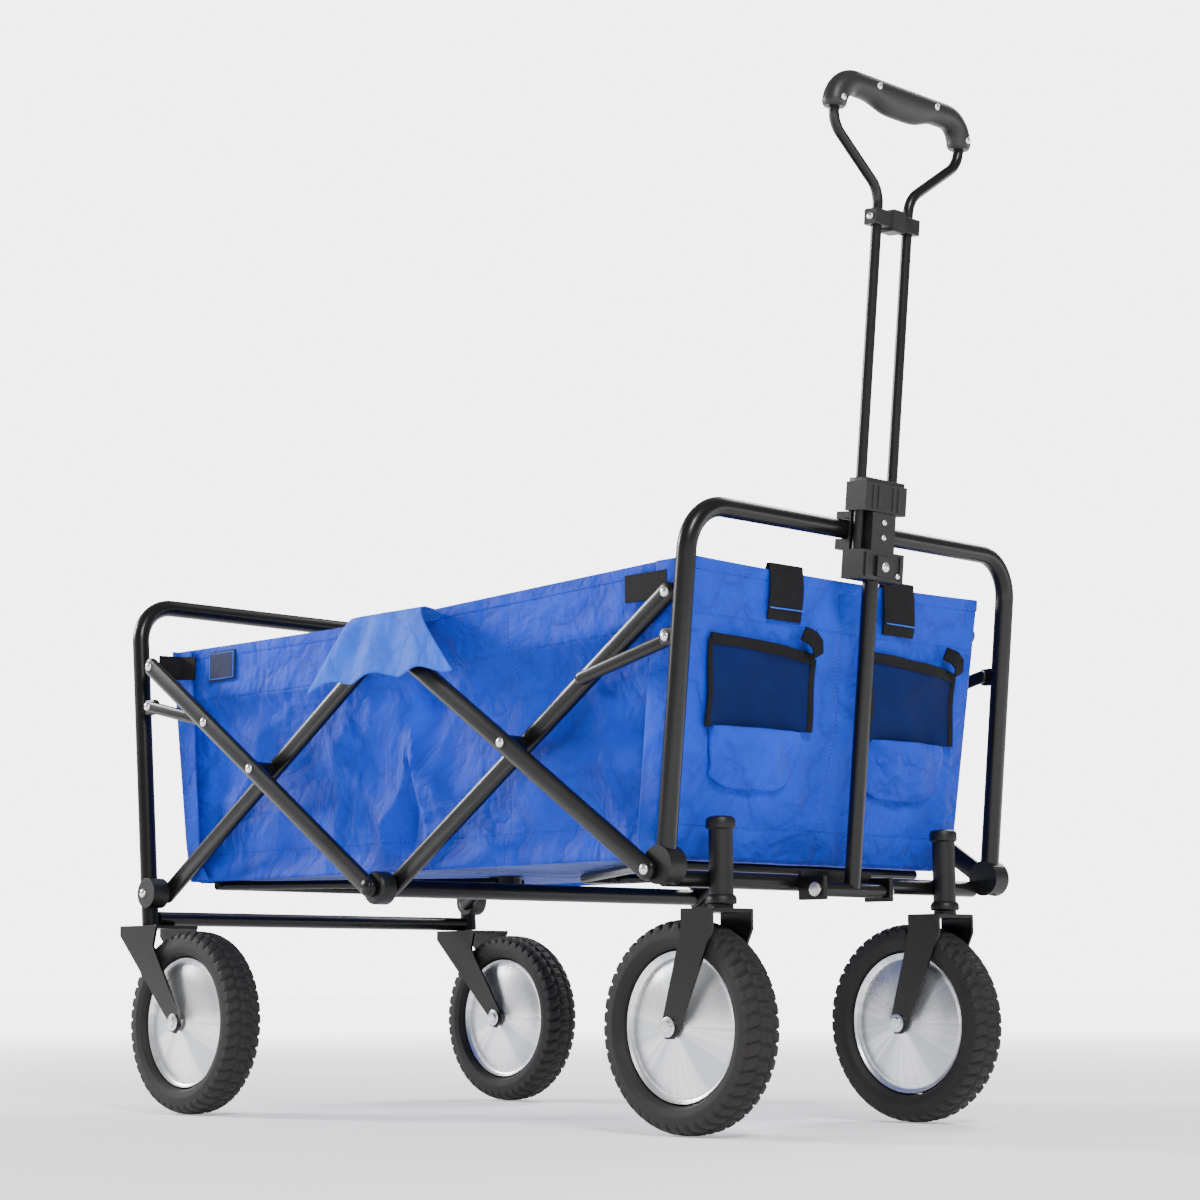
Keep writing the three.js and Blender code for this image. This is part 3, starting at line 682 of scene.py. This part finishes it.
def tyre_shape(x, y):
    """A tyre: its section is a superellipse between rim and crown, and the tread adds rows of blocks.
    Height = depth * row mask(width) * block mask(turn), the shoulder rows half a block round."""
    turn = np.linspace(0, 2 * math.pi, TREAD_BLOCKS * 9, endpoint=False)
    t = np.linspace(-0.5 * math.pi + 0.62, 1.5 * math.pi - 0.62, 58)
    # t = pi / 2 is the crown, and the ends are on the rim
    wide = 21.6 * np.sign(np.cos(t)) * np.abs(np.cos(t)) ** 0.72
    tall = 84 + 13.2 * np.sign(np.sin(t)) * np.abs(np.sin(t)) ** 0.72
    tall = np.maximum(tall, 70)
    w, phase = np.meshgrid(wide, turn * TREAD_BLOCKS / (2 * math.pi))
    crown = smoothstep(88, 92, np.broadcast_to(tall, w.shape))
    middle = 1 - smoothstep(5.2, 6.6, np.abs(w))
    shoulder = smoothstep(8.2, 9.6, np.abs(w))
    chevron = np.abs(w) * 0.035

    def blocks(shift):
        place = (phase + shift) % 1
        return smoothstep(0.06, 0.15, place) * (1 - smoothstep(0.80, 0.89, place))

    lugs = np.maximum(middle * blocks(chevron), shoulder * blocks(chevron + 0.5))
    place = (phase + chevron) % 1
    cut_across = smoothstep(0.42, 0.5, place) * (1 - smoothstep(0.52, 0.6, place))
    bite = 1 - 0.45 * cut_across * middle
    rings = 0.7 * (np.exp(-((tall - 76) ** 2) / 0.8) + np.exp(-((tall - 82.5) ** 2) / 0.8))
    radius = tall[None, :] + 2.7 * crown * lugs * bite
    side_out = np.sign(w) * (rings[None, :] + 0.9 * crown * lugs * smoothstep(16, 20, np.abs(w)))
    points = np.stack(
        [
            x + radius * np.cos(turn)[:, None],
            y + w + side_out,
            WHEEL_R + radius * np.sin(turn)[:, None],
        ],
        axis=-1,
    )
    return grid_shape(points, wrap=(True, True))


DISC_SIDE = [
    (6.3, 21.5), (10, 21.5), (14, 20.6), (17, 19.2), (24, 17.9), (34, 16.6), (46, 15.0),
    (56, 12.9), (63, 10.4), (66, 9.8), (68, 10.6), (69.3, 12.2), (70.4, 13.2), (71, 12),
]
for name, (x, y) in WHEELS.items():
    piece(f"{name}_treaded_tyre", tyre_shape(x, y), RUBBER, "tyre_rubber", name, (f"{name}_tyre",), sharp=50)
    profile = [(r, h) for r, h in DISC_SIDE] + [(r, -h) for r, h in reversed(DISC_SIDE)]
    profile.append(profile[0])
    dish = turned(profile, (x, y, WHEEL_R), segments=96)
    piece(f"{name}_dish", dish, SPUN, "spun_metal", name, (f"{name}_disc",))

for side_name, side in SIDES:
    y = side * 166
    softened(f"caster_fork_{side_name}", f"caster_{side_name}", COAT, 0.7)
    softened(f"rear_fork_{side_name}", "rear_frame", COAT, 0.7)
    profile = [
        (6.4, 213), (13.6, 213), (14.5, 214), (14.5, 218), (13.4, 220.5), (11.6, 222),
        (11.5, 282), (12.6, 283),
        (13.8, 283.6), (14, 285), (14, 290.5), (13, 293), (10.5, 294.4), (6.4, 294.6), (6.4, 213),
    ]
    sleeve = turned(profile, (411, y, 0), axis="z", segments=48)
    node = f"caster_sleeve_{side_name}"
    piece(f"caster_housing_{side_name}", sleeve, PLASTIC, "black_plastic", "front_frame", (node,))
    for end_name, body in (("rear", "rear_frame"), ("front", f"caster_{side_name}")):
        x, middle = WHEELS[f"{end_name}_wheel_{side_name}"]
        heads = []
        for out in (-1, 1):
            nut = [(0, 0), (9, 0), (9.3, 0.8), (9.3, 1.6), (8.2, 2), (6.2, 2.1), (6, 3.4), (5, 4.2), (0, 4.4)]
            profile = [(r, out * h) for r, h in nut]
            heads.append(turned(profile, (x, middle + out * 28.8, WHEEL_R), segments=32))
        axle = swept([(x, middle - 28, WHEEL_R), (x, middle + 28, WHEEL_R)], round_section(6, 24), (1, 0, 0))
        node = f"{end_name}_wheel_{side_name}_axle"
        piece(f"{end_name}_wheel_{side_name}_bolt", together(axle, *heads), ZINC, "bolt_steel", body, (node,))

# ---------------------------------------------------------------- pull handle
UP = np.array([math.sin(math.atan(LEAN)), 0, math.cos(math.atan(LEAN))])
OUT = np.array([math.cos(math.atan(LEAN)), 0, -math.sin(math.atan(LEAN))])


def on_handle(n, y, s):
    """A point s up the handle's own line, n to its front and y across."""
    n, y, s = np.broadcast_arrays(*(np.asarray(v, float) for v in (n, y, s)))
    base = np.array([HINGE[0], 0, HINGE[1]])
    return base + n[..., None] * OUT + s[..., None] * UP + y[..., None] * np.array([0, 1, 0])


shaft = together(
    swept([on_handle(0, 0, 2), on_handle(0, 0, 392)], round_section(8, 28), (0, 1, 0)),
    swept([on_handle(0, -44.5, 0), on_handle(0, 44.5, 0)], round_section(7, 28), OUT),
)
piece("handle_stem", shaft, COAT, "black_steel", "handle", ("handle_shaft",))
loop_corners = [(-ROD_Y, 306), (-ROD_Y, 690), (-LOOP_Y, 742), (-LOOP_Y, LOOP_TOP)]
loop_corners += [(-y, s) for y, s in reversed(loop_corners)]
loop_path = bent([on_handle(0, y, s) for y, s in loop_corners], 28, 12)
hoop = swept(loop_path, round_section(ROD_R, 24), OUT)
piece("handle_hoop", hoop, COAT, "black_steel", "handle_loop", ("handle_loop_tube",))


def grip_shape():
    """A moulded grip: an ellipse carried round the hoop's top, deeper below its middle, with a rounded
    shoulder at each end."""
    route = ((-LOOP_Y, 757.5), (-LOOP_Y, LOOP_TOP), (LOOP_Y, LOOP_TOP), (LOOP_Y, 757.5))
    corners = [on_handle(0, y, s) for y, s in route]
    sparse = bent(corners, 27, 16)
    gaps = np.linalg.norm(np.diff(sparse, axis=0), axis=1)
    at = np.concatenate([[0], np.cumsum(gaps)])
    even = np.linspace(0, at[-1], 140)
    path = np.stack([np.interp(even, at, sparse[:, i]) for i in range(3)], axis=1)
    tangent = np.gradient(path, axis=0)
    tangent /= np.linalg.norm(tangent, axis=1)[:, None]
    inward = np.cross(tangent, OUT)
    t = np.linspace(0, 2 * math.pi, 36, endpoint=False)
    share = even / at[-1]
    from_end = np.minimum(even, at[-1] - even)
    shoulder = 0.80 + 0.20 * np.sqrt(np.clip(from_end / 5, 0, 1))
    belly = np.exp(-(((share - 0.5) / 0.17) ** 4))
    a = 12.2 * shoulder[:, None] * np.cos(t)
    below = np.where(np.sin(t) < 0, 1.0, 0.0)
    b = (12.6 * shoulder)[:, None] * np.sin(t) - below * (8.5 * belly)[:, None] * np.abs(np.sin(t))
    sign = np.sign(np.dot(inward[70], UP))
    points = path[:, None] + a[..., None] * OUT + sign * b[..., None] * inward[:, None]
    inner = path[:, None] + 5.6 * (np.cos(t)[:, None] * OUT + sign * np.sin(t)[:, None] * inward[:, None])
    closed = np.concatenate([inner[:1], points, inner[-1:]], axis=0)
    u, v = np.meshgrid(np.linspace(0, 0.3, len(closed)), t / 80, indexing="ij")
    return grid_shape(closed, np.stack([u, v], axis=-1), wrap=(False, True))


piece("handle_grip_shell", grip_shape(), GRIP, "black_plastic", "handle_loop", ("handle_grip",))
for at, (y, s) in enumerate(((-45, 789), (45, 789), (-LOOP_Y, 766), (LOOP_Y, 766))):
    screw = dome(0, 0, 0, 1, 3.6, 1.8)
    turn = np.array([[1, 0, 0], [0, 0, 1], [0, 1, 0]])
    local = screw[0] @ turn.T
    placed = on_handle(12.0 + local[:, 2], y + local[:, 0], s + local[:, 1])
    piece(f"grip_screw_{at + 1}", (placed, screw[1], screw[2]), ZINC, "bolt_steel", "handle_loop")
for node in ("lower_block", "bar_clip", "upper_sleeve"):
    softened(node, "handle", PLASTIC, 1.2)
softened("handle_collar", "handle_loop", PLASTIC, 1.2)
softened("handle_bracket", "front_frame", COAT, 0.7)
softened("handle_hinge_pin", "front_frame", ZINC, 0.8)
ribs = []
for y in (-19, -11, 11, 19):
    centre = [on_handle(13.6, y, s) for s in (372, 378, 388, 395)]
    ribs.append(swept(centre, soft_box_section(3.4, 2.6, 5, 16), (0, 1, 0)))
for y in (-26, 26):
    centre = [on_handle(15.2, y, s) for s in (305, 312, 322, 328)]
    ribs.append(swept(centre, soft_box_section(4, 2.6, 5, 16), (0, 1, 0)))
piece("block_ribs", together(*ribs), PLASTIC, "black_plastic", "handle")
BLOCK_SCREWS = ((18.2, 0, 316, 5.2), (13.2, 0, 345, 3.2), (13.2, 0, 360, 3.2), (15.2, 22, 309, 3))
for at, (n, y, s, r) in enumerate(BLOCK_SCREWS):
    screw = dome(0, 0, 0, 1, r, 2.2)
    local = screw[0]
    placed = on_handle(n + local[:, 1], y + local[:, 0], s + local[:, 2])
    piece(f"block_screw_{at + 1}", (placed, screw[1], screw[2]), ZINC, "bolt_steel", "handle")
for at, side in enumerate((-1, 1)):
    screw = dome(0, 0, 0, side, 4, 2.4)
    local = screw[0]
    placed = on_handle(local[:, 0], side * 34 + local[:, 1], 662 + local[:, 2])
    piece(f"collar_rivet_{at + 1}", (placed, screw[1], screw[2]), ZINC, "bolt_steel", "handle_loop")


# ---------------------------------------------------------------- bag
def wrinkle(x, z, seed):
    """Folds with sharp crests: 1 - 2|sin| and sine terms whose phase is bent by slower sines."""
    bend = 1.3 * np.sin(x / 91 + seed) + 1.1 * np.sin(z / 57 + 2.3 * seed)
    a = 1 - 2 * np.abs(np.sin(x / 62 + z / 80 + 0.9 * bend + seed))
    b = 1 - 2 * np.abs(np.sin(x / 44 - z / 52 + 1.2 * bend + 3 * seed))
    c = np.sin(z / 29 + x / 140 + 1.2 * bend)
    return 0.45 * a + 0.3 * b + 0.25 * c


def top_edge(x):
    """Height of the bag's top edge along its length."""
    return np.interp(x, [-414, -300, -120, 0, 120, 300, 421], [521, 520, 519, 521, 525, 531, 535])


def rear_edge(z):
    """Rear end of the side wall, leaning with the end panel and tucked in at the floor."""
    return np.interp(z, [256, 300, 521, 540], [-366, -377, -413, -416])


def front_edge(z):
    return np.interp(z, [256, 300, 535, 540], [376, 383.5, 421, 422])


def side_wall(side, seed):
    """Side wall: x between the end edges and z between floor and top edge, y bulging with folds that
    fade to nothing along the hems."""
    u, v = np.meshgrid(np.linspace(0, 1, 190), np.linspace(0, 1, 76), indexing="ij")
    z_top = top_edge(-414 + 835 * u)
    z = 256 + v * (z_top - 256)
    x = rear_edge(z) + u * (front_edge(z) - rear_edge(z))
    calm = smoothstep(0, 0.10, v) * (1 - smoothstep(0.68, 0.82, v))
    calm = calm * smoothstep(0, 0.06, u) * (1 - smoothstep(0.94, 1, u))
    tuck = 9 * (1 - smoothstep(0, 0.08, v))
    lean = x + 0.35 * (z - 390) * np.sign(x) + 9 * np.sin(z / 38 + seed)
    hang = np.exp(-(((x - 10) / 95) ** 2)) + 0.6 * np.exp(-(((np.abs(x) - 290) / 60) ** 2))
    pull = 8 * hang * (1 - 1.7 * np.abs(np.sin(lean / 30)) ** 0.8)
    y = WALL_Y - 1.5 - tuck + calm * (11 * wrinkle(x, z, seed) - 13 + pull)
    y = y + 1.0 * np.exp(-((v - 0.78) / 0.012) ** 2)
    points = np.stack([x, side * np.minimum(y, 219.4), z], axis=-1)
    uv = np.stack([u * 0.80, v * 0.262], axis=-1)
    return grid_shape(points, uv)


def end_wall_x(end, y, z):
    """How far out an end wall is at (y, z): the panel's lean, a belly, the middle seam's dip and folds
    that only bulge outward, so that the raised floor boards clear them."""
    u = y / 217.5
    top = (535 if end > 0 else 522) - 3 * (1 - u**2)
    v = (z - 256) / (top - 256)
    edge = front_edge(z) if end > 0 else rear_edge(z)
    calm = smoothstep(0, 0.1, v) * (1 - smoothstep(0.8, 0.95, v)) * (1 - smoothstep(0.85, 1, np.abs(u)))
    belly = 5 * (1 - u**2) * np.sin(math.pi * np.clip(v, 0, 1))
    seam = -1.6 * np.exp(-((u / 0.012) ** 2))
    return edge + end * (1.5 + belly + seam + calm * (5 * wrinkle(y, z, 2.1 + end) + 4.5))


def end_wall(end):
    """End wall: a grid across the frame and up to the hem, x from end_wall_x."""
    u, v = np.meshgrid(np.linspace(-1, 1, 120), np.linspace(0, 1, 70), indexing="ij")
    y = u * 217.5
    z = 256 + v * ((535 if end > 0 else 522) - 3 * (1 - u**2) - 256)
    points = np.stack([end_wall_x(end, y, z), y, z], axis=-1)
    return grid_shape(points, np.stack([(u + 1) * 0.222, v * 0.275], axis=-1))


def foot_strip(end):
    """Foot of the end wall turned in under the floor board: a quarter circle, then a flat strip."""
    u, v = np.meshgrid(np.linspace(-1, 1, 60), np.linspace(0, 1, 14), indexing="ij")
    turn = np.clip(v / 0.4, 0, 1) * math.pi / 2
    wall_x = front_edge(257) if end > 0 else rear_edge(257)
    x = wall_x + end * (1.5 - 2 * (1 - np.cos(turn)) - 14 * np.clip((v - 0.4) / 0.6, 0, 1))
    z = 257.5 - 2 * np.sin(turn) + 0.2 * np.sin(14 * u)
    return grid_shape(np.stack([x, u * 205, z], axis=-1), np.stack([u * 0.205 + 0.22, v * 0.02], axis=-1))


def corner_wrap(end, side):
    """Cloth of the end wall carried 42 mm round the corner onto the side wall."""
    u, v = np.meshgrid(np.linspace(0, 1, 16), np.linspace(0, 1, 50), indexing="ij")
    z_top = 535 if end > 0 else 521.5
    z = 258 + v * (z_top - 258)
    edge = front_edge(z) if end > 0 else rear_edge(z)
    x = edge + end * 1.5 - end * (26 + 14 * v) * u
    y = side * (217.5 + 1.9 * smoothstep(0, 0.2, u) + 0.25 * np.sin(z / 19) * u)
    tuck = side * 7 * (1 - smoothstep(0, 0.07, v))
    points = np.stack([x, y - tuck, z], axis=-1)
    return grid_shape(points, np.stack([u * 0.042, v * 0.27], axis=-1))


def hem(path, normal, width=12, thick=3.4):
    return swept(path, soft_box_section(thick, width, 4, 20), normal)


cloth = {"wall": 1.2, "slot": "blue_cloth"}
for side_name, side in SIDES:
    shape = side_wall(side, 1.3 + side)
    wall = piece(f"side_cloth_{side_name}", shape, SIDE_CLOTH, replaces=(f"bag_side_{side_name}",), **cloth)
    xs = np.linspace(-413, 420, 90)
    rim_path = np.stack([xs, np.full(90, side * (WALL_Y - 1.5)), top_edge(xs) - 4], axis=1)
    rim = piece(f"side_rim_{side_name}", hem(rim_path, (0, 1, 0)), PLAIN_CLOTH, "blue_cloth")
    for obj in (wall, rim):
        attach(obj, "rear_frame")
    for obj in (wall, rim):
        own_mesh(obj)

for end_name, end in ENDS:
    body = f"{end_name}_frame"
    corners = [
        piece(f"{end_name}_corner_{side_name}", corner_wrap(end, side), PLAIN_CLOTH, body=body, **cloth)
        for side_name, side in SIDES
    ]
    panel = f"{end_name}_panel"
    wall = piece(f"{end_name}_cloth", end_wall(end), PANEL_CLOTH, body=body, replaces=(panel,), **cloth)
    u = np.linspace(-1, 1, 50)
    z_top = (535 if end > 0 else 522) - 3 * (1 - u**2) - 4
    edge = (front_edge(z_top) if end > 0 else rear_edge(z_top)) + end * 1.5
    rim_path = np.stack([edge, u * 217.5, z_top], axis=1)
    rim = piece(f"{end_name}_rim", hem(rim_path, LEAN_NORMAL[end]), PLAIN_CLOTH, "blue_cloth", body)
    foot = piece(f"{end_name}_foot", foot_strip(end), PLAIN_CLOTH, body=body, **cloth)


def floor_pad(end):
    """A covered floor board: a soft-edged slab, as high as the root of (1 - |u|^14)(1 - |v|^14)."""
    u, v = np.meshgrid(np.linspace(-1, 1, 60), np.linspace(-1, 1, 60), indexing="ij")
    rise = (1 - np.abs(u) ** 14) * (1 - np.abs(v) ** 14)
    x = end * (367 - 160 + 160 * u)
    sheets = []
    for face in (1, -1):
        z = 261.5 + face * 3.4 * rise ** 0.5
        points = np.stack([x, 204 * v, z], axis=-1)
        sheets.append(grid_shape(points, np.stack([u * 0.16, v * 0.204 + 0.2], axis=-1)))
    return together(*sheets)


for end_name, end in ENDS:
    board = f"{end_name}_floor_board"
    body = f"{end_name}_floor"
    pad = piece(f"{body}_pad", floor_pad(end), FLOOR_CLOTH, "floor_cloth", body, (board,))
    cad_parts[f"{end_name}_floor_rods"].data.materials[0] = COAT


def floor_bridge():
    """Cloth between the two boards: a flat strip with a shallow sag of cosine shape."""
    u, v = np.meshgrid(np.linspace(-1, 1, 40), np.linspace(-1, 1, 40), indexing="ij")
    z = 260.5 - 1.6 * np.cos(math.pi * u / 2) * (1 - v**8) + 0.3 * np.sin(9 * v + 4 * u)
    return grid_shape(np.stack([52 * u, 203 * v, z], axis=-1), np.stack([u * 0.052, v * 0.203], axis=-1))


bridge = piece("floor_bridge", floor_bridge(), FLOOR_CLOTH, "floor_cloth", "rear_frame", wall=1.2)
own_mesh(bridge)


def flap_shape(side):
    """Flap over the top middle joint: a profile over the bars in y and z, widening downwards in x,
    with a scalloped lower edge."""
    u, v = np.meshgrid(np.linspace(-1, 1, 80), np.linspace(0, 1, 44), indexing="ij")
    stations = [0, 0.1, 0.2, 0.3, 0.38, 0.46, 0.6, 1]
    y = np.interp(v, stations, [214.5, 218, 232, 250, 260.5, 265, 268, 272])
    z = np.interp(v, stations, [513, 519.5, 521, 521, 518.5, 511, 497, 452])
    droop = smoothstep(0.3, 0.6, v)
    z = z + droop * (3.5 * np.cos(3.1 * math.pi * u + 0.6) - 4 * u**2 + 2 * u) * v
    x = 26 + u * (34 + 80 * v**1.3) + 6 * v
    fold = (3 * np.sin(u * 8 + v * 3) + 2 * np.abs(np.sin(u * 5 - v))) * droop
    points = np.stack([x, side * (y + fold), z], axis=-1)
    return grid_shape(points, np.stack([u * 0.1 + 0.1, v * 0.1], axis=-1))


def strip(path, normal, width, thick=1.8):
    """Webbing: a thin flat section carried along a path."""
    return swept(path, soft_box_section(width, thick, 8, 20), normal)


for side_name, side in SIDES:
    flap = piece(f"flap_{side_name}", flap_shape(side), FLAP_CLOTH, body="rear_frame", **cloth)
    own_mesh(flap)
    rear_path = [(-366, side * 219.8, 500), (-386, side * 226, 501), (-398, side * 248, 502)]
    rear_tab = strip(rear_path, (0, 0, 1), 27)
    piece(f"rear_tab_{side_name}", rear_tab, WEB, "blue_cloth", "rear_frame")
    front_path = [(340, side * 219.8, 512), (366, side * 219.9, 512), (396, side * 219.9, 512)]
    front_tab = strip(front_path, (0, 0, 1), 27, 1.6)
    piece(f"front_tab_{side_name}", front_tab, WEB, "blue_cloth", "front_frame")

u, v = np.meshgrid(np.linspace(-1, 1, 30), np.linspace(-1, 1, 30), indexing="ij")
puff = 1.4 * (1 - np.abs(u) ** 10) * (1 - np.abs(v) ** 10)
patch_grid = np.stack([-318 + 25 * u, -(WALL_Y + 0.6 + puff), 499 + 17 * v], axis=-1)
patch_shape = grid_shape(patch_grid, np.stack([u * 0.025, v * 0.017], axis=-1))
patch = piece("corner_patch", patch_shape, PATCH_CLOTH, body="rear_frame", **cloth)
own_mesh(patch)
round_patch = ((-1, -1), (1, -1), (1, 1), (-1, 1), (-1, -1))
border_path = [(-318 + a * 22.5, -(WALL_Y + 2.4), 499 + b * 14.5) for a, b in round_patch]
border = strip(border_path, (0, 1, 0), 0.8, 1.0)
border = piece("corner_patch_stitch", border, FLAP_CLOTH, "blue_cloth", "rear_frame")
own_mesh(border)


def panel_patch(y, z, off):
    """Points on the front panel's plane at (y, z), off millimetres in front of it."""
    return np.stack([end_wall_x(1, y, z) + off, y, z], axis=-1)


for name, y0, y1 in (("right", -182, -43), ("left", 43, 182)):
    u, v = np.meshgrid(np.linspace(0, 1, 40), np.linspace(0, 1, 30), indexing="ij")
    y = y0 + u * (y1 - y0)
    top = 462 - 10 * u
    bottom = 378 + 3 * u
    z = bottom + v * (top - bottom)
    bag_out = 5 + 7 * np.sin(math.pi * u) * v**1.5 + 0.8 * np.sin(u * 14 + v * 5)
    net_shape = grid_shape(panel_patch(y, z, bag_out), np.stack([u * 0.139, v * 0.08], axis=-1))
    net = piece(f"mesh_pocket_{name}", net_shape, MESH, "blue_cloth", "front_frame", wall=0.8)
    top_path = panel_patch(y[:, -1], z[:, -1], bag_out[:, -1] + 0.6)
    left_path = panel_patch(y[0], z[0], bag_out[0] + 0.6)
    right_path = panel_patch(y[-1], z[-1], bag_out[-1] + 0.6)
    flat_normal = (1, 0, 0)
    bindings = [
        swept(top_path, soft_box_section(2.4, 11, 5, 16), flat_normal),
        swept(left_path, soft_box_section(2.2, 6, 5, 16), flat_normal),
        swept(right_path, soft_box_section(2.2, 8, 5, 16), flat_normal),
    ]
    tab_steps = ((-8, -9, -4), (0, -4, 2), (7, 2, 3), (12, 12, 0))
    tab_path = [panel_patch(np.array(y1 - 16 + a), np.array(466 - b), 15 + c) for a, b, c in tab_steps]
    bindings.append(swept(tab_path, soft_box_section(3, 18, 5, 16), flat_normal))
    piece(f"pocket_binding_{name}", together(*bindings), WEB, "blue_cloth", "front_frame")
    # The pouch below the net
    y = y0 + 6 + u * (y1 - y0 - 14) - (1 - v) * 12 * (u - 0.5)
    z = 322 + v * 58 + 12 * (2 * u - 1) ** 4 * (1 - v)
    swell = np.sin(math.pi * np.clip(u, 0, 1)) ** 0.5 * (0.15 + 0.85 * v) * (1 - 0.35 * v**6)
    out = 2 + 21 * swell + 1.2 * np.sin(u * 17 + v * 6)
    pouch_shape = grid_shape(panel_patch(y, z, out), np.stack([u * 0.13, v * 0.056], axis=-1))
    pouch = piece(f"pouch_{name}", pouch_shape, PLAIN_CLOTH, body="front_frame", **cloth)
    centre = -85 if name == "right" else 85
    zs = np.concatenate([[528, 540], np.linspace(540, 486, 14)])
    offs = np.concatenate([[-4, -1.0], 2.5 + 4 * np.sin(math.pi * np.linspace(0, 1, 14))])
    loop_path = panel_patch(np.full(16, centre), zs, offs)
    loop = strip(loop_path, (0, 1, 0), 48, 2.0)
    stitch_path = panel_patch(np.array([centre - 23, centre + 23]), np.array([497, 497]), 7.2)
    stitches = strip(stitch_path, (1, 0, 0.1), 0.9, 1.2)
    piece(f"webbing_loop_{name}", loop, WEB, "blue_cloth", "front_frame")
    piece(f"webbing_stitch_{name}", stitches, FLAP_CLOTH, "blue_cloth", "front_frame")

# Bare CAD nodes that keep their own shape still get a finish
for node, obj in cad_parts.items():
    if not obj.hide_render:
        for slot_index in range(len(obj.data.materials)):
            obj.data.materials[slot_index] = COAT

# ---------------------------------------------------------------- studio
floor_mesh = bpy.data.meshes.new("studio_floor")
floor_corners = [(-30, -30, -0.0002), (30, -30, -0.0002), (30, 30, -0.0002), (-30, 30, -0.0002)]
floor_mesh.from_pydata(floor_corners, [], [(0, 1, 2, 3)])
floor = bpy.data.objects.new("studio_floor", floor_mesh)
bpy.context.scene.collection.objects.link(floor)
paper = Finish("paper")
from_wagon = paper.node("ShaderNodeVectorMath", {"operation": "LENGTH"}, {0: paper.coordinates()}, "Value")
far_off = from_wagon.above(3.6, 2.4)
paper_colour = paper.mix(paper.noise(0.8), (0.93, 0.93, 0.93), (0.95, 0.95, 0.95))
paper_glow = paper.mix(far_off, (0.09, 0.09, 0.09), (0.92, 0.92, 0.92))
paper.show(Base_Color=paper_colour, Emission_Color=paper_glow, Emission_Strength=4.6, Roughness=0.85)
floor_mesh.materials.append(paper.material)

world = bpy.data.worlds.new("studio")
bpy.context.scene.world = world
world.use_nodes = True
backdrop = world.node_tree.nodes["Background"]
backdrop.inputs["Color"].default_value = (1, 1, 1, 1)
seen = world.node_tree.nodes.new("ShaderNodeLightPath")
glow = world.node_tree.nodes.new("ShaderNodeMapRange")
# Soft room light, with a brighter backdrop behind the wagon
glow.inputs["To Min"].default_value = 0.42
glow.inputs["To Max"].default_value = 5.0
world.node_tree.links.new(seen.outputs["Is Camera Ray"], glow.inputs["Value"])
world.node_tree.links.new(glow.outputs["Result"], backdrop.inputs["Strength"])


def soft_light(name, place, target, size, power):
    lamp = bpy.data.lights.new(name, "AREA")
    lamp.size = size
    lamp.energy = power
    obj = bpy.data.objects.new(name, lamp)
    obj.location = place
    obj.rotation_euler = (Vector(target) - Vector(place)).to_track_quat("-Z", "Y").to_euler()
    bpy.context.scene.collection.objects.link(obj)


soft_light("key", (3.0, -1.7, 2.9), (0, 0, 0.4), 1.0, 150)
soft_light("fill", (-3.2, -1.5, 1.9), (0, 0, 0.4), 0.9, 150)
soft_light("rim", (-0.5, 2.6, 2.4), (0, 0, 0.5), 1.2, 80)

# ---------------------------------------------------------------- camera
azimuth, pitch, roll = math.radians(45.99), math.radians(9.83), math.radians(-0.2)
forward = Vector((-math.sin(azimuth) * math.cos(pitch), math.cos(azimuth) * math.cos(pitch), math.sin(pitch)))
right = Vector((math.cos(azimuth), math.sin(azimuth), 0))
above = right.cross(forward)
right, above = (
    right * math.cos(roll) + above * math.sin(roll),
    above * math.cos(roll) - right * math.sin(roll),
)
lens = bpy.data.cameras.new("camera")
lens.lens = 77.18
lens.sensor_width = 36
lens.shift_y = -0.0499
lens.clip_end = 100
camera = bpy.data.objects.new("camera", lens)
camera.matrix_world = Matrix((right, above, -forward)).transposed().to_4x4()
camera.location = metres((2466.3 - 391, -1929.62, 138.17))
bpy.context.scene.collection.objects.link(camera)
bpy.context.scene.camera = camera
